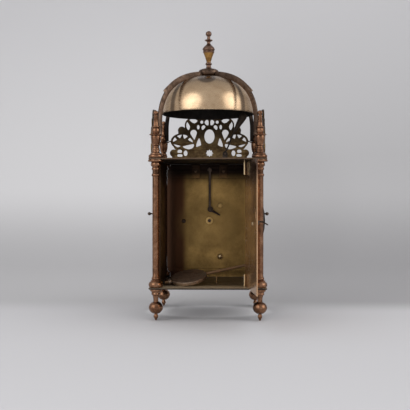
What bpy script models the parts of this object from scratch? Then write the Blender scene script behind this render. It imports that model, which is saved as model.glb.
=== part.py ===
# Lantern clock, brass, seen from its open back: four turned pillars between two plates,
# three pierced frets, a strapped bell, a dial, two side doors and a rear door that stands open.
# The clock stands on z = 0 with the middle of its four feet at the origin.
# -Y is the open back, +Y the dial, and left and right are as seen from the back.
import math

import bmesh
import bpy
from mathutils import Matrix, Vector

mm = 0.001

# Gaps
SEAT = 0.3 * mm            # between two pieces that are seated on each other
PIN_PLAY = 0.3 * mm        # round a pin or a spigot in its hole

# Case
PITCH_X = 137.0 * mm       # between pillar axes, side to side
PITCH_Y = 137.0 * mm       # between pillar axes, back to front
FOOT_H = 41.4 * mm         # from the ground to the bottom plate
FLOOR_T = 2.0 * mm         # bottom plate
CASE_H = 168.4 * mm        # clear height between the plates
ROOF_T = 2.0 * mm          # top plate
PLATE_LIP = 9.0 * mm       # plates run this far past the pillar axes

# Feet
FOOT_TIP_R = 0.9 * mm
FOOT_DROP_R = 3.0 * mm      # small drop under the ball
FOOT_DROP_Z = 5.2 * mm
FOOT_DROP_NECK_R = 2.1 * mm
FOOT_BALL_R = 9.4 * mm
FOOT_BALL_HALF = 8.3 * mm   # half the ball's height
FOOT_BALL_Z = 16.8 * mm
FOOT_NECK_R = 3.4 * mm
FOOT_MOULD_R = 5.8 * mm
FOOT_MOULD_H = 4.0 * mm
FOOT_FLANGE_R = 7.6 * mm
FOOT_FLANGE_H = 3.0 * mm
SPIGOT_R = 2.6 * mm
SPIGOT_IN = 7.0 * mm       # reach of a spigot into a pillar

# Pillars
SHAFT_R = 4.5 * mm
RING_R = 5.6 * mm
CUSHION_R = 9.6 * mm
CUSHION_H = 9.2 * mm
BULGE_R = 6.6 * mm
CAPITAL_R = 10.3 * mm
CAPITAL_H = 2.6 * mm

# Corner finials
FINIAL_PLINTH_R = 9.6 * mm
FINIAL_PLINTH_H = 4.2 * mm
FINIAL_BASE_R = 7.8 * mm
FINIAL_NECK_R = 3.7 * mm
FINIAL_URN_R = 6.2 * mm
FINIAL_URN_H = 11.6 * mm
FINIAL_FLANGE_R = 8.7 * mm
FINIAL_FLANGE_H = 1.4 * mm
FINIAL_FOOT_H = 18.0 * mm  # plinth, base and neck, up to the urn
FINIAL_VASE_R = 5.5 * mm
FINIAL_VASE_H = 8.6 * mm
FINIAL_CONE_R = 3.5 * mm
FINIAL_CONE_H = 13.2 * mm
FINIAL_BALL_R = 3.3 * mm

# Bell and its frame
BELL_R = 63.1 * mm
BELL_H = 52.0 * mm
BELL_WALL = 2.2 * mm
BELL_LIFT = 65.6 * mm      # rim above the top plate
BELL_ROUND_R = 2.4         # exponents of the bell's rounded-square section
BELL_ROUND_Z = 2.2
STUD_R = 3.0 * mm
NUT_R = 6.5 * mm
NUT_H = 4.2 * mm
NUT_LIP = 1.2 * mm         # flat seat past the nut
HUB_R = 14.4 * mm
HUB_FOOT_R = 9.4 * mm       # foot between the strap ends
HUB_H = 11.0 * mm
HUB_SIDE_H = 4.6 * mm
STRAP_W = 9.6 * mm
STRAP_T = 2.2 * mm
STRAP_LEAF_T = 1.2 * mm    # extra leaf on the arch, ends in a step
STRAP_GAP = 0.5 * mm       # strap leg to the finial's vase
STRAP_RUN = 52.9 * mm      # pulls of the arch: outwards and down from the hub, up from its knee
STRAP_FALL = 6.4 * mm
STRAP_END_UP = 2.6 * mm      # strap's upper face over the bell's crown, at the hub
STRAP_SIDE = 38.0 * mm
STRAP_KNEE = 13.4 * mm     # arch's end below the bell's rim

# Bell finial
SPIRE_NECK_R = 3.2 * mm
SPIRE_RING_R = 4.5 * mm
SPIRE_URN_R = 8.6 * mm
SPIRE_BOWL_H = 12.0 * mm   # lower part of its urn, up to the rim
SPIRE_LID_H = 9.8 * mm     # upper part of its urn
SPIRE_DISC_R = 5.6 * mm
SPIRE_STEM_R = 2.4 * mm
SPIRE_BALL_R = 4.2 * mm
SPIRE_FOOT_H = 12.4 * mm

# Frets
FRET_T = 2.0 * mm
FRET_IN = 1.4 * mm         # front face of a fret behind the plate's edge
FRET_HALF_W = 55.0 * mm
FRET_RISE = 4.4 * mm       # from its foot to the pierced pattern
FRET_TOP = 70.9 * mm
FRET_TAB_W = 9.0 * mm
FRET_TAB_REACH = 8.0 * mm
FRET_TAB_AT = 26.0 * mm
FRET_TAB_T = 1.4 * mm
SCREW_R = 2.6 * mm
SCREW_HEAD_H = 1.6 * mm

# Dial
DIAL_T = 2.0 * mm
DIAL_SIDE_GAP = 0.5 * mm
RING_GAP = 0.6 * mm        # chapter ring to the plates above and below
RING_BAND = 30.2 * mm      # width of the chapter ring
RING_T = 1.8 * mm
RING_POST_R = 2.2 * mm
RING_POST_IN = 24.2 * mm   # its posts inside its rim
ARBOR_R = 2.3 * mm
BOSS_R = 6.4 * mm
HAND_LEN = 58.0 * mm
HAND_TAIL = 21.0 * mm
HAND_T = 1.2 * mm
HAND_RISE = 1.4 * mm       # hand in front of the chapter ring
COLLET_R = 5.6 * mm
COLLET_H = 3.2 * mm

# Doors
LEAF_T = 1.5 * mm
LEAF_GAP = 0.8 * mm        # leaf to the plates above and below
SIDE_LEAF_IN = 4.3 * mm    # side leaf's middle inside the pillar axis
SIDE_LEAF_END = 10.4 * mm  # side leaf's back edge inside the pillar axis
SIDE_HINGE_IN = 11.6 * mm  # side hinge inside the front pillar axis
BARREL_R = 1.45 * mm
PIN_R = 1.0 * mm
PIN_IN = 1.5 * mm          # pin's reach into a plate
REAR_HINGE_X = 48.6 * mm
REAR_HINGE_IN = 8.5 * mm   # rear hinge inside the back pillar axes
REAR_OPEN = math.radians(94.9)
SWING_GAP = 0.6 * mm       # rear leaf's free edge to the cushion that it swings past
REAR_BARREL_L = 16.0 * mm
KNOB_UP = 96.7 * mm        # side knob above the floor
KNOB_FROM_EDGE = 11.0 * mm
KNOB_STEM = 11.8 * mm
KNOB_R = 2.3 * mm
KNOB_FOOT_R = 3.4 * mm
CATCH_DROP = 13.0 * mm
CATCH_R = 1.3 * mm
LATCH_AT = 72.0 * mm       # latch rivet from the rear hinge
LATCH_UP = 86.0 * mm
LATCH_LEN = 35.0 * mm
LATCH_W = 6.0 * mm
LATCH_T = 1.4 * mm
LATCH_FINGER = 11.0 * mm
LATCH_TURN = math.radians(4.6)
SLOT_AT = 97.0 * mm
SLOT_UP = 98.0 * mm
SLOT_W = 2.6 * mm
SLOT_H = 9.0 * mm

# Hammer
HAMMER_X = 23.0 * mm
HAMMER_AXIS_UP = 9.4 * mm  # arbor above the top plate
HAMMER_STEM_R = 1.1 * mm
HAMMER_HEAD_R = 5.4 * mm
HAMMER_HEAD_L = 30.0 * mm
HAMMER_LEAN = math.radians(30.0)
HAMMER_HEAD_X = 20.0 * mm  # middle of the head from its arbor
HAMMER_HEAD_DROP = 13.0 * mm  # middle of the head below the bell's rim
HAMMER_ARBOR_R = 1.5 * mm
COCK_W = 12.0 * mm
COCK_T = 1.6 * mm
COCK_EAR_R = 3.6 * mm
COCK_LIP = 1.4 * mm        # foot past the ears

# Inside of the case
LUG_W = 13.0 * mm
LUG_DROP = 20.0 * mm
LUG_REACH = 9.0 * mm
LUG_T = 2.6 * mm
LUG_LEFT_X = -20.0 * mm
LUG_RIGHT_X = 21.0 * mm
CRUTCH_X = 0.6 * mm
CRUTCH_DROP = 8.6 * mm     # crutch pivot below the top plate
CRUTCH_ABOVE = 17.2 * mm   # crutch hub above the dial's centre
CRUTCH_W = 3.4 * mm
CRUTCH_T = 1.8 * mm
CRUTCH_EYE_R = 3.8 * mm
CRUTCH_STUD_R = 1.5 * mm
CRUTCH_OFF = 7.0 * mm      # crutch in front of the dial plate's back
CRUTCH_HUB_R = 4.4 * mm
CRUTCH_HUB_L = 7.0 * mm
BOB_R = 24.6 * mm
BOB_EDGE = 2.3 * mm        # half thickness at the rim
BOB_MIDDLE = 4.0 * mm      # half thickness at the centre
BOB_X = -26.3 * mm
BOB_Y = -37.0 * mm
BOB_LEAN = math.radians(14.0)
ROD_R = 2.1 * mm
ROD_LEN = 89.0 * mm
ROD_TAIL = 9.0 * mm
ROD_RISE = math.radians(10.8)
ROD_YAW = math.radians(13.0)
RATING_NUT_R = 3.4 * mm
RATING_NUT_L = 4.0 * mm
FLOOR_PIN_R = 1.1 * mm
FLOOR_PIN_H = 10.4 * mm
FLOOR_PIN_X = 11.0 * mm
FLOOR_PIN_Y = -21.5 * mm

# Facets round a turned piece
ROUND_BIG = 28
ROUND_TURNED = 10
ROUND_HOLE = 8
ROUND_SMALL = 10

# Places worked out from the sizes above
HALF_X = PITCH_X / 2
HALF_Y = PITCH_Y / 2
FLOOR_Z = FOOT_H + FLOOR_T
ROOF_Z = FLOOR_Z + CASE_H
DECK_Z = ROOF_Z + ROOF_T
RIM_Z = DECK_Z + BELL_LIFT
CROWN_Z = RIM_Z + BELL_H
HUB_Z = CROWN_Z + SEAT
DIAL_Z = FLOOR_Z + CASE_H / 2
RING_OUTER_R = CASE_H / 2 - RING_GAP
RING_INNER_R = RING_OUTER_R - RING_BAND
RING_POST_AT = RING_OUTER_R - RING_POST_IN
CRUTCH_Z = ROOF_Z - CRUTCH_DROP
CRUTCH_LEN = CRUTCH_Z - DIAL_Z - CRUTCH_ABOVE
DIAL_BACK_Y = HALF_Y
DIAL_FRONT_Y = DIAL_BACK_Y + DIAL_T
RING_BACK_Y = HALF_Y + SHAFT_R + SEAT
RING_FRONT_Y = RING_BACK_Y + RING_T
HAND_BACK_Y = RING_FRONT_Y + HAND_RISE
FLANGE_TOP_Z = DECK_Z + SEAT + FINIAL_FOOT_H + FINIAL_URN_H + FINIAL_FLANGE_H
CORNERS = {
    "back_left": (-1, -1),
    "back_right": (1, -1),
    "front_left": (-1, 1),
    "front_right": (1, 1),
}


def clear_scene():
    for thing in list(bpy.data.objects):
        bpy.data.objects.remove(thing, do_unlink=True)


def finish_material(name, colour, roughness, metallic):
    material = bpy.data.materials.new(name)
    material.use_nodes = True
    shader = material.node_tree.nodes["Principled BSDF"]
    shader.inputs["Base Color"].default_value = (*colour, 1.0)
    shader.inputs["Roughness"].default_value = roughness
    shader.inputs["Metallic"].default_value = metallic
    return material


def arc(centre, radii, start, stop, steps):
    """Points on an ellipse from one angle to another, in degrees, both ends included."""
    points = []
    for i in range(steps + 1):
        angle = math.radians(start + (stop - start) * i / steps)
        points.append((centre[0] + radii[0] * math.cos(angle), centre[1] + radii[1] * math.sin(angle)))
    return points


def circle(centre, radius, steps):
    return arc(centre, (radius, radius), 0, 360, steps)[:-1]


def mirrored(points):
    """The half outline and its mirror image about x = 0, as one loop."""
    return points + [(-x, y) for x, y in reversed(points) if x > 1e-6]


def put(name, mesh_maker, material, location=(0, 0, 0), rotation=None, parent=None):
    """A named object from a bmesh, shaded smooth with sharp corners."""
    shape = mesh_maker if isinstance(mesh_maker, bmesh.types.BMesh) else mesh_maker()
    mesh = bpy.data.meshes.new(name)
    shape.to_mesh(mesh)
    shape.free()
    mesh.shade_smooth()
    mesh.set_sharp_from_angle(angle=math.radians(32))
    mesh.materials.append(material)
    thing = bpy.data.objects.new(name, mesh)
    bpy.context.scene.collection.objects.link(thing)
    thing.location = location
    if rotation is not None:
        thing.rotation_euler = rotation
    thing.parent = parent
    return thing


def joint_empty(name, location, rotation=(0, 0, 0), parent=None):
    empty = bpy.data.objects.new(name, None)
    bpy.context.scene.collection.objects.link(empty)
    empty.location = location
    empty.rotation_euler = rotation
    empty.parent = parent
    return empty


def turned(profile, steps):
    """A closed turned body about Z. The profile is (radius, height) and starts and ends on the axis."""
    shape = bmesh.new()
    verts = [shape.verts.new((r, 0.0, z)) for r, z in profile]
    edges = [shape.edges.new(pair) for pair in zip(verts, verts[1:])]
    bmesh.ops.spin(
        shape,
        geom=verts + edges,
        cent=(0, 0, 0),
        axis=(0, 0, 1),
        dvec=(0, 0, 0),
        angle=math.tau,
        steps=steps,
        use_merge=True,
        use_duplicate=False,
    )
    bmesh.ops.remove_doubles(shape, verts=shape.verts[:], dist=1e-6)
    bmesh.ops.recalc_face_normals(shape, faces=shape.faces[:])
    return shape


def slab(outline, thickness, holes=()):
    """A flat plate in the XY plane, from z = 0 to its thickness, with its holes cut through."""
    shape = bmesh.new()
    for loop in [outline, *holes]:
        verts = [shape.verts.new((x, y, 0.0)) for x, y in loop]
        for i, vert in enumerate(verts):
            shape.edges.new((vert, verts[(i + 1) % len(verts)]))
    bmesh.ops.triangle_fill(shape, use_beauty=True, use_dissolve=False, edges=shape.edges[:], normal=(0, 0, 1))
    top = bmesh.ops.extrude_face_region(shape, geom=shape.faces[:], use_keep_orig=True)
    bmesh.ops.translate(shape, verts=[v for v in top["geom"] if isinstance(v, bmesh.types.BMVert)], vec=(0, 0, thickness))
    bmesh.ops.recalc_face_normals(shape, faces=shape.faces[:])
    return shape


def moved(shape, matrix):
    bmesh.ops.transform(shape, matrix=matrix, verts=shape.verts[:])
    if matrix.determinant() < 0:
        bmesh.ops.reverse_faces(shape, faces=shape.faces[:])
    return shape


def upright(shape, offset=0.0):
    """Stand a slab up: its x stays, its y becomes z, and its thickness runs along -Y from the offset."""
    return moved(shape, Matrix.Translation((0, offset, 0)) @ Matrix.Rotation(math.pi / 2, 4, "X"))


def along_y(shape, start_y):
    """Turn a body made about Z so that it runs along +Y from the given place."""
    return moved(shape, Matrix.Translation((0, start_y, 0)) @ Matrix.Rotation(-math.pi / 2, 4, "X"))


def along_x(shape, start_x, sign=1):
    """Turn a body made about Z so that it runs along X, outwards on the side of the sign."""
    turn = Matrix.Rotation(sign * math.pi / 2, 4, "Y")
    return moved(shape, Matrix.Translation((start_x, 0, 0)) @ turn)


def boolean(target, shape, operation, name):
    """Cut or join a body with another, which stays in the file as a hidden wire tool."""
    tool = put(name, shape, target.data.materials[0])
    tool.parent = target.parent
    tool.location = target.location
    tool.rotation_euler = target.rotation_euler
    tool.hide_render = True
    tool.display_type = "WIRE"
    modifier = target.modifiers.new(name, "BOOLEAN")
    modifier.operation = operation
    modifier.object = tool
    modifier.solver = "EXACT"


def rod(radius, length, steps=ROUND_SMALL, start=0.0):
    return turned([(0, start), (radius, start), (radius, start + length), (0, start + length)], steps)


def screw_head(radius, height, steps=ROUND_SMALL):
    """A domed head on a short shank that stops at its seat."""
    dome = arc((0, height * 0.35), (radius, height * 0.65), 0, 90, 2)
    return turned([(0, 0), (radius, 0), *dome[:-1], (0, height)], steps)


# Turned pieces

def foot_profile():
    bottom = math.degrees(math.acos(FOOT_DROP_NECK_R / FOOT_BALL_R))
    top = math.degrees(math.acos(FOOT_NECK_R / FOOT_BALL_R))
    ball = arc((0, FOOT_BALL_Z), (FOOT_BALL_R, FOOT_BALL_HALF), -bottom, top, 7)
    seat = FOOT_H - SEAT
    flange = seat - FOOT_FLANGE_H
    mould = flange - FOOT_MOULD_H
    neck = ball[-1][1]
    return [
        (0, 0),
        (FOOT_TIP_R, 0),
        (FOOT_DROP_R, FOOT_DROP_Z),
        *ball,
        (FOOT_NECK_R, neck + 0.5 * (mould - neck)),
        (FOOT_NECK_R * 1.22, mould - 0.1 * (mould - neck)),
        (FOOT_MOULD_R, mould),
        (FOOT_MOULD_R, mould + 0.4 * FOOT_MOULD_H),
        (FOOT_MOULD_R * 1.08, flange),
        (FOOT_FLANGE_R, flange + 0.35 * FOOT_FLANGE_H),
        (FOOT_FLANGE_R, seat),
        (SPIGOT_R, seat),
        (SPIGOT_R, FLOOR_Z + SEAT + SPIGOT_IN),
        (0, FLOOR_Z + SEAT + SPIGOT_IN),
    ]


def socket(depth):
    """Inner wall of a pillar's socket, from the axis out to its mouth, at the foot of the pillar."""
    wall = SPIGOT_R + PIN_PLAY
    return [(0, depth), (wall, depth), (wall, 0)]


def pillar_profile():
    height = CASE_H - 2 * SEAT
    depth = SPIGOT_IN + SEAT
    low = [(r, z) for r, z in socket(depth)]
    cushion = arc((CUSHION_R * 0.55, CUSHION_H * 0.42), (CUSHION_R * 0.45, CUSHION_H * 0.42), -90, 90, 4)
    capital_z = height - CAPITAL_H
    high = [(r, height - z) for r, z in reversed(socket(depth))]
    ring_half = 0.8 * mm
    return [
        *low,
        *cushion,
        (CUSHION_R * 0.74, CUSHION_H),
        (SHAFT_R * 1.06, CUSHION_H + 0.8 * mm),
        (RING_R, CUSHION_H + 2.2 * mm),
        (RING_R, CUSHION_H + 3.6 * mm),
        (SHAFT_R, CUSHION_H + 5.4 * mm),
        (SHAFT_R, capital_z - 18.6 * mm),
        (RING_R, capital_z - 17.8 * mm),
        (RING_R, capital_z - 17.8 * mm + 2 * ring_half),
        (SHAFT_R * 0.98, capital_z - 15.2 * mm),
        (SHAFT_R * 0.98, capital_z - 10.4 * mm),
        (RING_R * 0.98, capital_z - 9.6 * mm),
        (RING_R * 0.98, capital_z - 8.2 * mm),
        (SHAFT_R * 1.04, capital_z - 7.4 * mm),
        (BULGE_R, capital_z - 4.6 * mm),
        (BULGE_R * 0.92, capital_z - 1.0 * mm),
        (CAPITAL_R, capital_z + 0.5 * mm),
        (CAPITAL_R, height),
        *high,
    ]


def finial_profile():
    spigot = ROOF_T + 2 * SEAT + SPIGOT_IN
    urn = FINIAL_FOOT_H
    flange = urn + FINIAL_URN_H
    vase = flange + FINIAL_FLANGE_H
    collar = vase + FINIAL_VASE_H
    cone = collar + 2.2 * mm
    neck = cone + FINIAL_CONE_H
    ball_z = neck + 1.2 * mm + FINIAL_BALL_R * 0.85
    ball = arc((0, ball_z), (FINIAL_BALL_R, FINIAL_BALL_R), -56, 90, 4)
    return [
        (0, -spigot),
        (SPIGOT_R, -spigot),
        (SPIGOT_R, 0),
        (FINIAL_PLINTH_R * 0.94, 0),
        (FINIAL_PLINTH_R, 0.3 * FINIAL_PLINTH_H),
        (FINIAL_PLINTH_R, 0.8 * FINIAL_PLINTH_H),
        (FINIAL_BASE_R, FINIAL_PLINTH_H),
        (FINIAL_BASE_R, FINIAL_PLINTH_H + 1.6 * mm),
        (FINIAL_NECK_R * 1.35, FINIAL_PLINTH_H + 3.6 * mm),
        (FINIAL_NECK_R * 1.35, urn - 4.8 * mm),
        (FINIAL_NECK_R, urn - 3.8 * mm),
        (FINIAL_NECK_R, urn - 2.2 * mm),
        (FINIAL_URN_R * 0.8, urn),
        (FINIAL_URN_R * 0.97, urn + 0.45 * FINIAL_URN_H),
        (FINIAL_URN_R, urn + 0.8 * FINIAL_URN_H),
        (FINIAL_URN_R * 0.93, flange),
        (FINIAL_FLANGE_R, flange + 0.3 * FINIAL_FLANGE_H),
        (FINIAL_FLANGE_R, vase),
        (FINIAL_VASE_R * 0.78, vase),
        (FINIAL_VASE_R * 0.8, vase + 0.12 * FINIAL_VASE_H),
        (FINIAL_VASE_R, vase + 0.45 * FINIAL_VASE_H),
        (FINIAL_VASE_R * 0.78, collar),
        (FINIAL_VASE_R, collar + 0.6 * mm),
        (FINIAL_VASE_R, collar + 1.6 * mm),
        (FINIAL_CONE_R, cone),
        (FINIAL_CONE_R * 0.82, cone + 0.5 * FINIAL_CONE_H),
        (FINIAL_CONE_R, cone + 0.56 * FINIAL_CONE_H),
        (FINIAL_CONE_R * 0.78, neck - 1.4 * mm),
        (FINIAL_CONE_R * 0.9, neck - 0.6 * mm),
        (FINIAL_CONE_R * 0.55, neck + 0.4 * mm),
        *ball[:-1],
        (0, ball_z + FINIAL_BALL_R),
    ]


def bell_height(radius):
    """Height of the bell's outside above its rim at a radius."""
    return BELL_H * (1 - (radius / BELL_R) ** BELL_ROUND_R) ** (1 / BELL_ROUND_Z)


def bell_inside(radius):
    """Height of the bell's inside above its rim at a radius."""
    scaled = min(radius / (BELL_R - BELL_WALL), 1.0)
    return max((BELL_H - BELL_WALL) * (1 - scaled ** BELL_ROUND_R) ** (1 / BELL_ROUND_Z), 0.0)


def bell_profile():
    """Outside from the crown hole down to the lip, then back up the inside to a flat seat for the nut."""
    hole = STUD_R + PIN_PLAY
    steps = 9
    outside = []
    for i in range(steps):
        radius = hole + (BELL_R - hole) * math.sin(math.radians(90 * i / steps)) ** 0.9
        outside.append((radius, bell_height(radius)))
    outside.append((BELL_R, 0.0))
    inner_r = BELL_R - BELL_WALL
    seat = NUT_R + NUT_LIP
    steps = 5
    inside = []
    for i in range(steps, -1, -1):
        radius = seat + (inner_r - seat) * math.sin(math.radians(90 * i / steps)) ** 0.9
        inside.append((radius, bell_inside(radius)))
    return outside + inside + [(hole, bell_inside(seat))]


def bell_shape():
    shape = bmesh.new()
    profile = bell_profile()
    verts = [shape.verts.new((r, 0.0, z)) for r, z in profile]
    edges = [shape.edges.new((verts[i - 1], verts[i])) for i in range(len(verts))]
    bmesh.ops.spin(
        shape,
        geom=verts + edges,
        cent=(0, 0, 0),
        axis=(0, 0, 1),
        dvec=(0, 0, 0),
        angle=math.tau,
        steps=ROUND_BIG,
        use_merge=True,
        use_duplicate=False,
    )
    bmesh.ops.remove_doubles(shape, verts=shape.verts[:], dist=1e-6)
    bmesh.ops.recalc_face_normals(shape, faces=shape.faces[:])
    return shape


def hub_profile():
    """Domed hub with a blind socket below for the bell's stud and one above for the finial's spigot."""
    low = STUD_R + PIN_PLAY
    high = SPIRE_STEM_R + PIN_PLAY
    dome = arc((0, HUB_SIDE_H), (HUB_R, HUB_H - HUB_SIDE_H), 0, 68, 5)
    depth = HUB_H * 0.4
    under = STRAP_END_UP + STRAP_LEAF_T + SEAT
    return [
        (0, depth),
        (low, depth),
        (low, 0),
        (HUB_FOOT_R, 0),
        (HUB_FOOT_R, under),
        (HUB_R, under),
        *dome,
        (high, HUB_H),
        (high, HUB_H - depth),
        (0, HUB_H - depth),
    ]


def spire_profile():
    spigot = HUB_H * 0.4 - SEAT
    urn = SPIRE_FOOT_H
    rim = urn + SPIRE_BOWL_H
    lid = rim + SPIRE_LID_H
    neck = lid + 3.0 * mm
    disc = neck + 2.0 * mm
    ball_z = disc + 5.0 * mm + SPIRE_BALL_R
    ball = arc((0, ball_z), (SPIRE_BALL_R, SPIRE_BALL_R), -56, 90, 6)
    return [
        (0, -spigot),
        (SPIRE_STEM_R, -spigot),
        (SPIRE_STEM_R, 0),
        (SPIRE_NECK_R * 1.7, 0),
        (SPIRE_NECK_R, 2.4 * mm),
        (SPIRE_NECK_R, 5.6 * mm),
        (SPIRE_RING_R, 6.8 * mm),
        (SPIRE_RING_R, 8.8 * mm),
        (SPIRE_NECK_R * 0.95, 10.0 * mm),
        (SPIRE_NECK_R, urn),
        (SPIRE_URN_R * 0.62, urn + SPIRE_BOWL_H * 0.5),
        (SPIRE_URN_R * 0.97, rim),
        (SPIRE_URN_R * 0.89, rim + SPIRE_LID_H * 0.12),
        (SPIRE_URN_R, rim + SPIRE_LID_H * 0.34),
        (SPIRE_URN_R * 0.93, rim + SPIRE_LID_H * 0.58),
        (SPIRE_URN_R * 0.6, rim + SPIRE_LID_H * 0.8),
        (SPIRE_STEM_R * 1.15, lid),
        (SPIRE_STEM_R, neck),
        (SPIRE_DISC_R, disc),
        (SPIRE_DISC_R, disc + 1.4 * mm),
        (SPIRE_STEM_R, disc + 2.6 * mm),
        (SPIRE_STEM_R, disc + 4.4 * mm),
        *ball[:-1],
        (0, ball_z + SPIRE_BALL_R),
    ]


# Straps

def bezier(points, steps):
    a, b, c, d = (Vector((*p, 0)) for p in points)
    path = []
    for i in range(steps + 1):
        t = i / steps
        s = 1 - t
        path.append(a * s ** 3 + b * 3 * s * s * t + c * 3 * s * t * t + d * t ** 3)
    return path


def strap_outline():
    """Side view of a strap in its own diagonal plane, as (distance from the bell's axis, height)."""
    corner = math.hypot(HALF_X, HALF_Y)
    leg = corner - FINIAL_VASE_R - STRAP_GAP
    foot = FLANGE_TOP_Z + SEAT
    top = HUB_Z + STRAP_END_UP
    knee = RIM_Z - STRAP_KNEE
    start = HUB_FOOT_R + SEAT
    arch = bezier([(start, top), (start + STRAP_RUN, top - STRAP_FALL), (leg - 2.0 * mm, knee + STRAP_SIDE), (leg, knee)], 13)
    outer = [(p.x, p.y) for p in arch] + [(leg, (knee + foot) / 2), (leg, foot)]
    step_at = 8
    outline = []
    for i, (x, z) in enumerate(outer):
        before = outer[max(i - 1, 0)]
        after = outer[min(i + 1, len(outer) - 1)]
        run = Vector((after[0] - before[0], after[1] - before[1])).normalized()
        normal = Vector((-run.y, run.x))
        lift = STRAP_LEAF_T if i <= step_at else 0.0
        if i == step_at + 1:
            outline.append((x + normal.x * STRAP_LEAF_T, z + normal.y * STRAP_LEAF_T))
        outline.append((x + normal.x * lift, z + normal.y * lift))
    inner = []
    for i, (x, z) in enumerate(outer):
        before = outer[max(i - 1, 0)]
        after = outer[min(i + 1, len(outer) - 1)]
        run = Vector((after[0] - before[0], after[1] - before[1])).normalized()
        inner.append((x + run.y * STRAP_T, z - run.x * STRAP_T))
    inner[0] = (outer[0][0], outer[0][1] - STRAP_T)
    outline[0] = (outer[0][0], outer[0][1] + STRAP_LEAF_T)
    inner[-1] = (outer[-1][0] - STRAP_T, outer[-1][1])
    return outline + inner[::-1]


def strap_shape():
    shape = slab(strap_outline(), STRAP_W)
    return upright(shape, STRAP_W / 2)


# Pierced frets

def raised(points):
    """Fret pattern points, in millimetres above the pattern's foot, as places on the fret."""
    return [(x * mm, y * mm + FRET_RISE) for x, y in points]


def fret_outline():
    wheel = (40.2, 28.0)
    half = [
        (0, 0),
        (FRET_HALF_W, 0),
        (FRET_HALF_W, FRET_RISE),
        *raised(arc((54.0, 10.4), (5.6, 5.6), -60, 120, 6)),
        *raised(arc(wheel, (18.2, 12.5), -38, -5, 2)),
        *raised([(60.8, 27.1), (60.8, 28.9)]),
        *raised(arc(wheel, (18.2, 12.5), 5, 68, 4)),
        *raised(arc((41.7, 44.6), (5.8, 5.8), -24, 140, 6)),
        *raised(arc((25.0, 52.1), (12.2, 12.0), -8, 88, 6)),
        *raised([(19.0, 63.4), (10.0, 62.4), (4.5, 63.4)]),
        (0, FRET_TOP),
    ]
    return mirrored(half)


def fret_holes():
    """Openings of a fret: oval, star, the leaves of its two wheels, and the scrolls' eyes."""
    star = []
    for i in range(8):
        radius = 5.6 if i % 2 == 0 else 3.3
        angle = math.radians(45 * i)
        star.append((radius * math.cos(angle), 10.4 + radius * math.sin(angle)))
    one_side = [
        [(49.4, 37.1), (41.7, 38.8), (44.3, 32.8)],
        [(39.6, 38.8), (32.8, 35.8), (38.0, 31.9)],
        [(53.1, 34.7), (49.2, 30.4), (56.8, 27.2)],
        [(29.3, 33.5), (24.0, 26.4), (32.4, 30.6)],
        [(55.8, 24.0), (44.1, 21.2), (48.3, 18.6), (52.4, 20.6)],
        [(40.0, 20.4), (23.6, 23.8), (24.8, 18.6), (30.2, 16.2), (36.6, 17.9)],
        arc((23.9, 40.6), (4.9, 4.9), -10, 190, 5) + [(22.6, 30.2)],
        [(15.7, 33.0), (12.6, 22.6), (20.2, 19.8)],
        arc((25.0, 52.1), (9.9, 9.9), -48, 32, 3) + [(29.6, 50.6)],
        arc((25.0, 52.1), (9.9, 9.9), 58, 136, 3) + [(21.0, 55.4)],
        arc((16.9, 49.4), (1.9, 3.4), 0, 360, 5)[:-1],
        arc((11.6, 57.0), (2.2, 2.4), 0, 360, 6)[:-1],
        [(8.6, 52.2), (11.8, 49.4), (10.4, 45.4), (6.2, 49.6)],
        [(1.6, 59.2), (1.6, 52.4), (5.6, 53.4), (7.0, 57.6), (4.4, 60.0)],
        [(41.9, 11.2), (48.0, 11.2), (47.4, 14.9), (41.9, 14.4)],
        [(41.0, 5.4), (48.0, 5.4), (47.8, 8.6), (41.0, 8.6)],
        arc((36.0, 10.2), (2.9, 4.2), 0, 360, 6)[:-1],
    ]
    holes = [raised(arc((0, 35.4), (7.6, 10.6), 0, 360, 12)[:-1]), raised(star)]
    for sign in (-1, 1):
        holes += [[(sign * x, y) for x, y in raised(hole)] for hole in one_side]
    return holes


def fret_shape():
    return upright(slab(fret_outline(), FRET_T, fret_holes()), FRET_T / 2)


# Build

def main():
    clear_scene()
    brass = finish_material("aged_brass", (0.36, 0.22, 0.12), 0.42, 1.0)
    copper = finish_material("copper_brass", (0.40, 0.22, 0.13), 0.36, 1.0)
    bell_brass = finish_material("bell_metal", (0.52, 0.40, 0.24), 0.3, 1.0)
    olive = finish_material("olive_brass", (0.22, 0.15, 0.08), 0.5, 1.0)
    gilt = finish_material("bright_brass", (0.62, 0.46, 0.24), 0.3, 1.0)
    silvered = finish_material("silvered_brass", (0.55, 0.50, 0.40), 0.45, 1.0)
    steel = finish_material("blued_steel", (0.07, 0.06, 0.06), 0.4, 1.0)

    build_case(copper, brass)
    build_bell(bell_brass, copper, olive, steel)
    build_frets(olive)
    build_dial(brass, silvered, steel)
    build_side_doors(brass, olive)
    build_rear_door(brass, gilt, steel)
    build_hammer(steel, olive)
    build_inside(brass, steel, gilt, olive)


def plate_outline():
    half_x = HALF_X + PLATE_LIP
    half_y = HALF_Y + PLATE_LIP
    cut = 1.6 * mm
    corners = []
    for sx, sy in ((1, -1), (1, 1), (-1, 1), (-1, -1)):
        ends = [(sx * half_x, sy * (half_y - cut)), (sx * (half_x - cut), sy * half_y)]
        corners += ends if sx == sy else ends[::-1]
    return corners


def pintle_places():
    side_y = HALF_Y - SIDE_HINGE_IN
    side_x = HALF_X - SIDE_LEAF_IN
    return [(side_x, side_y), (-side_x, side_y), (REAR_HINGE_X, -HALF_Y + REAR_HINGE_IN)]


def plate_holes(extra=()):
    spigots = [circle((sx * HALF_X, sy * HALF_Y), SPIGOT_R + PIN_PLAY, ROUND_HOLE) for sx, sy in CORNERS.values()]
    pins = [circle(place, PIN_R + PIN_PLAY, 6) for place in pintle_places()]
    return spigots + pins + list(extra)


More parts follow.
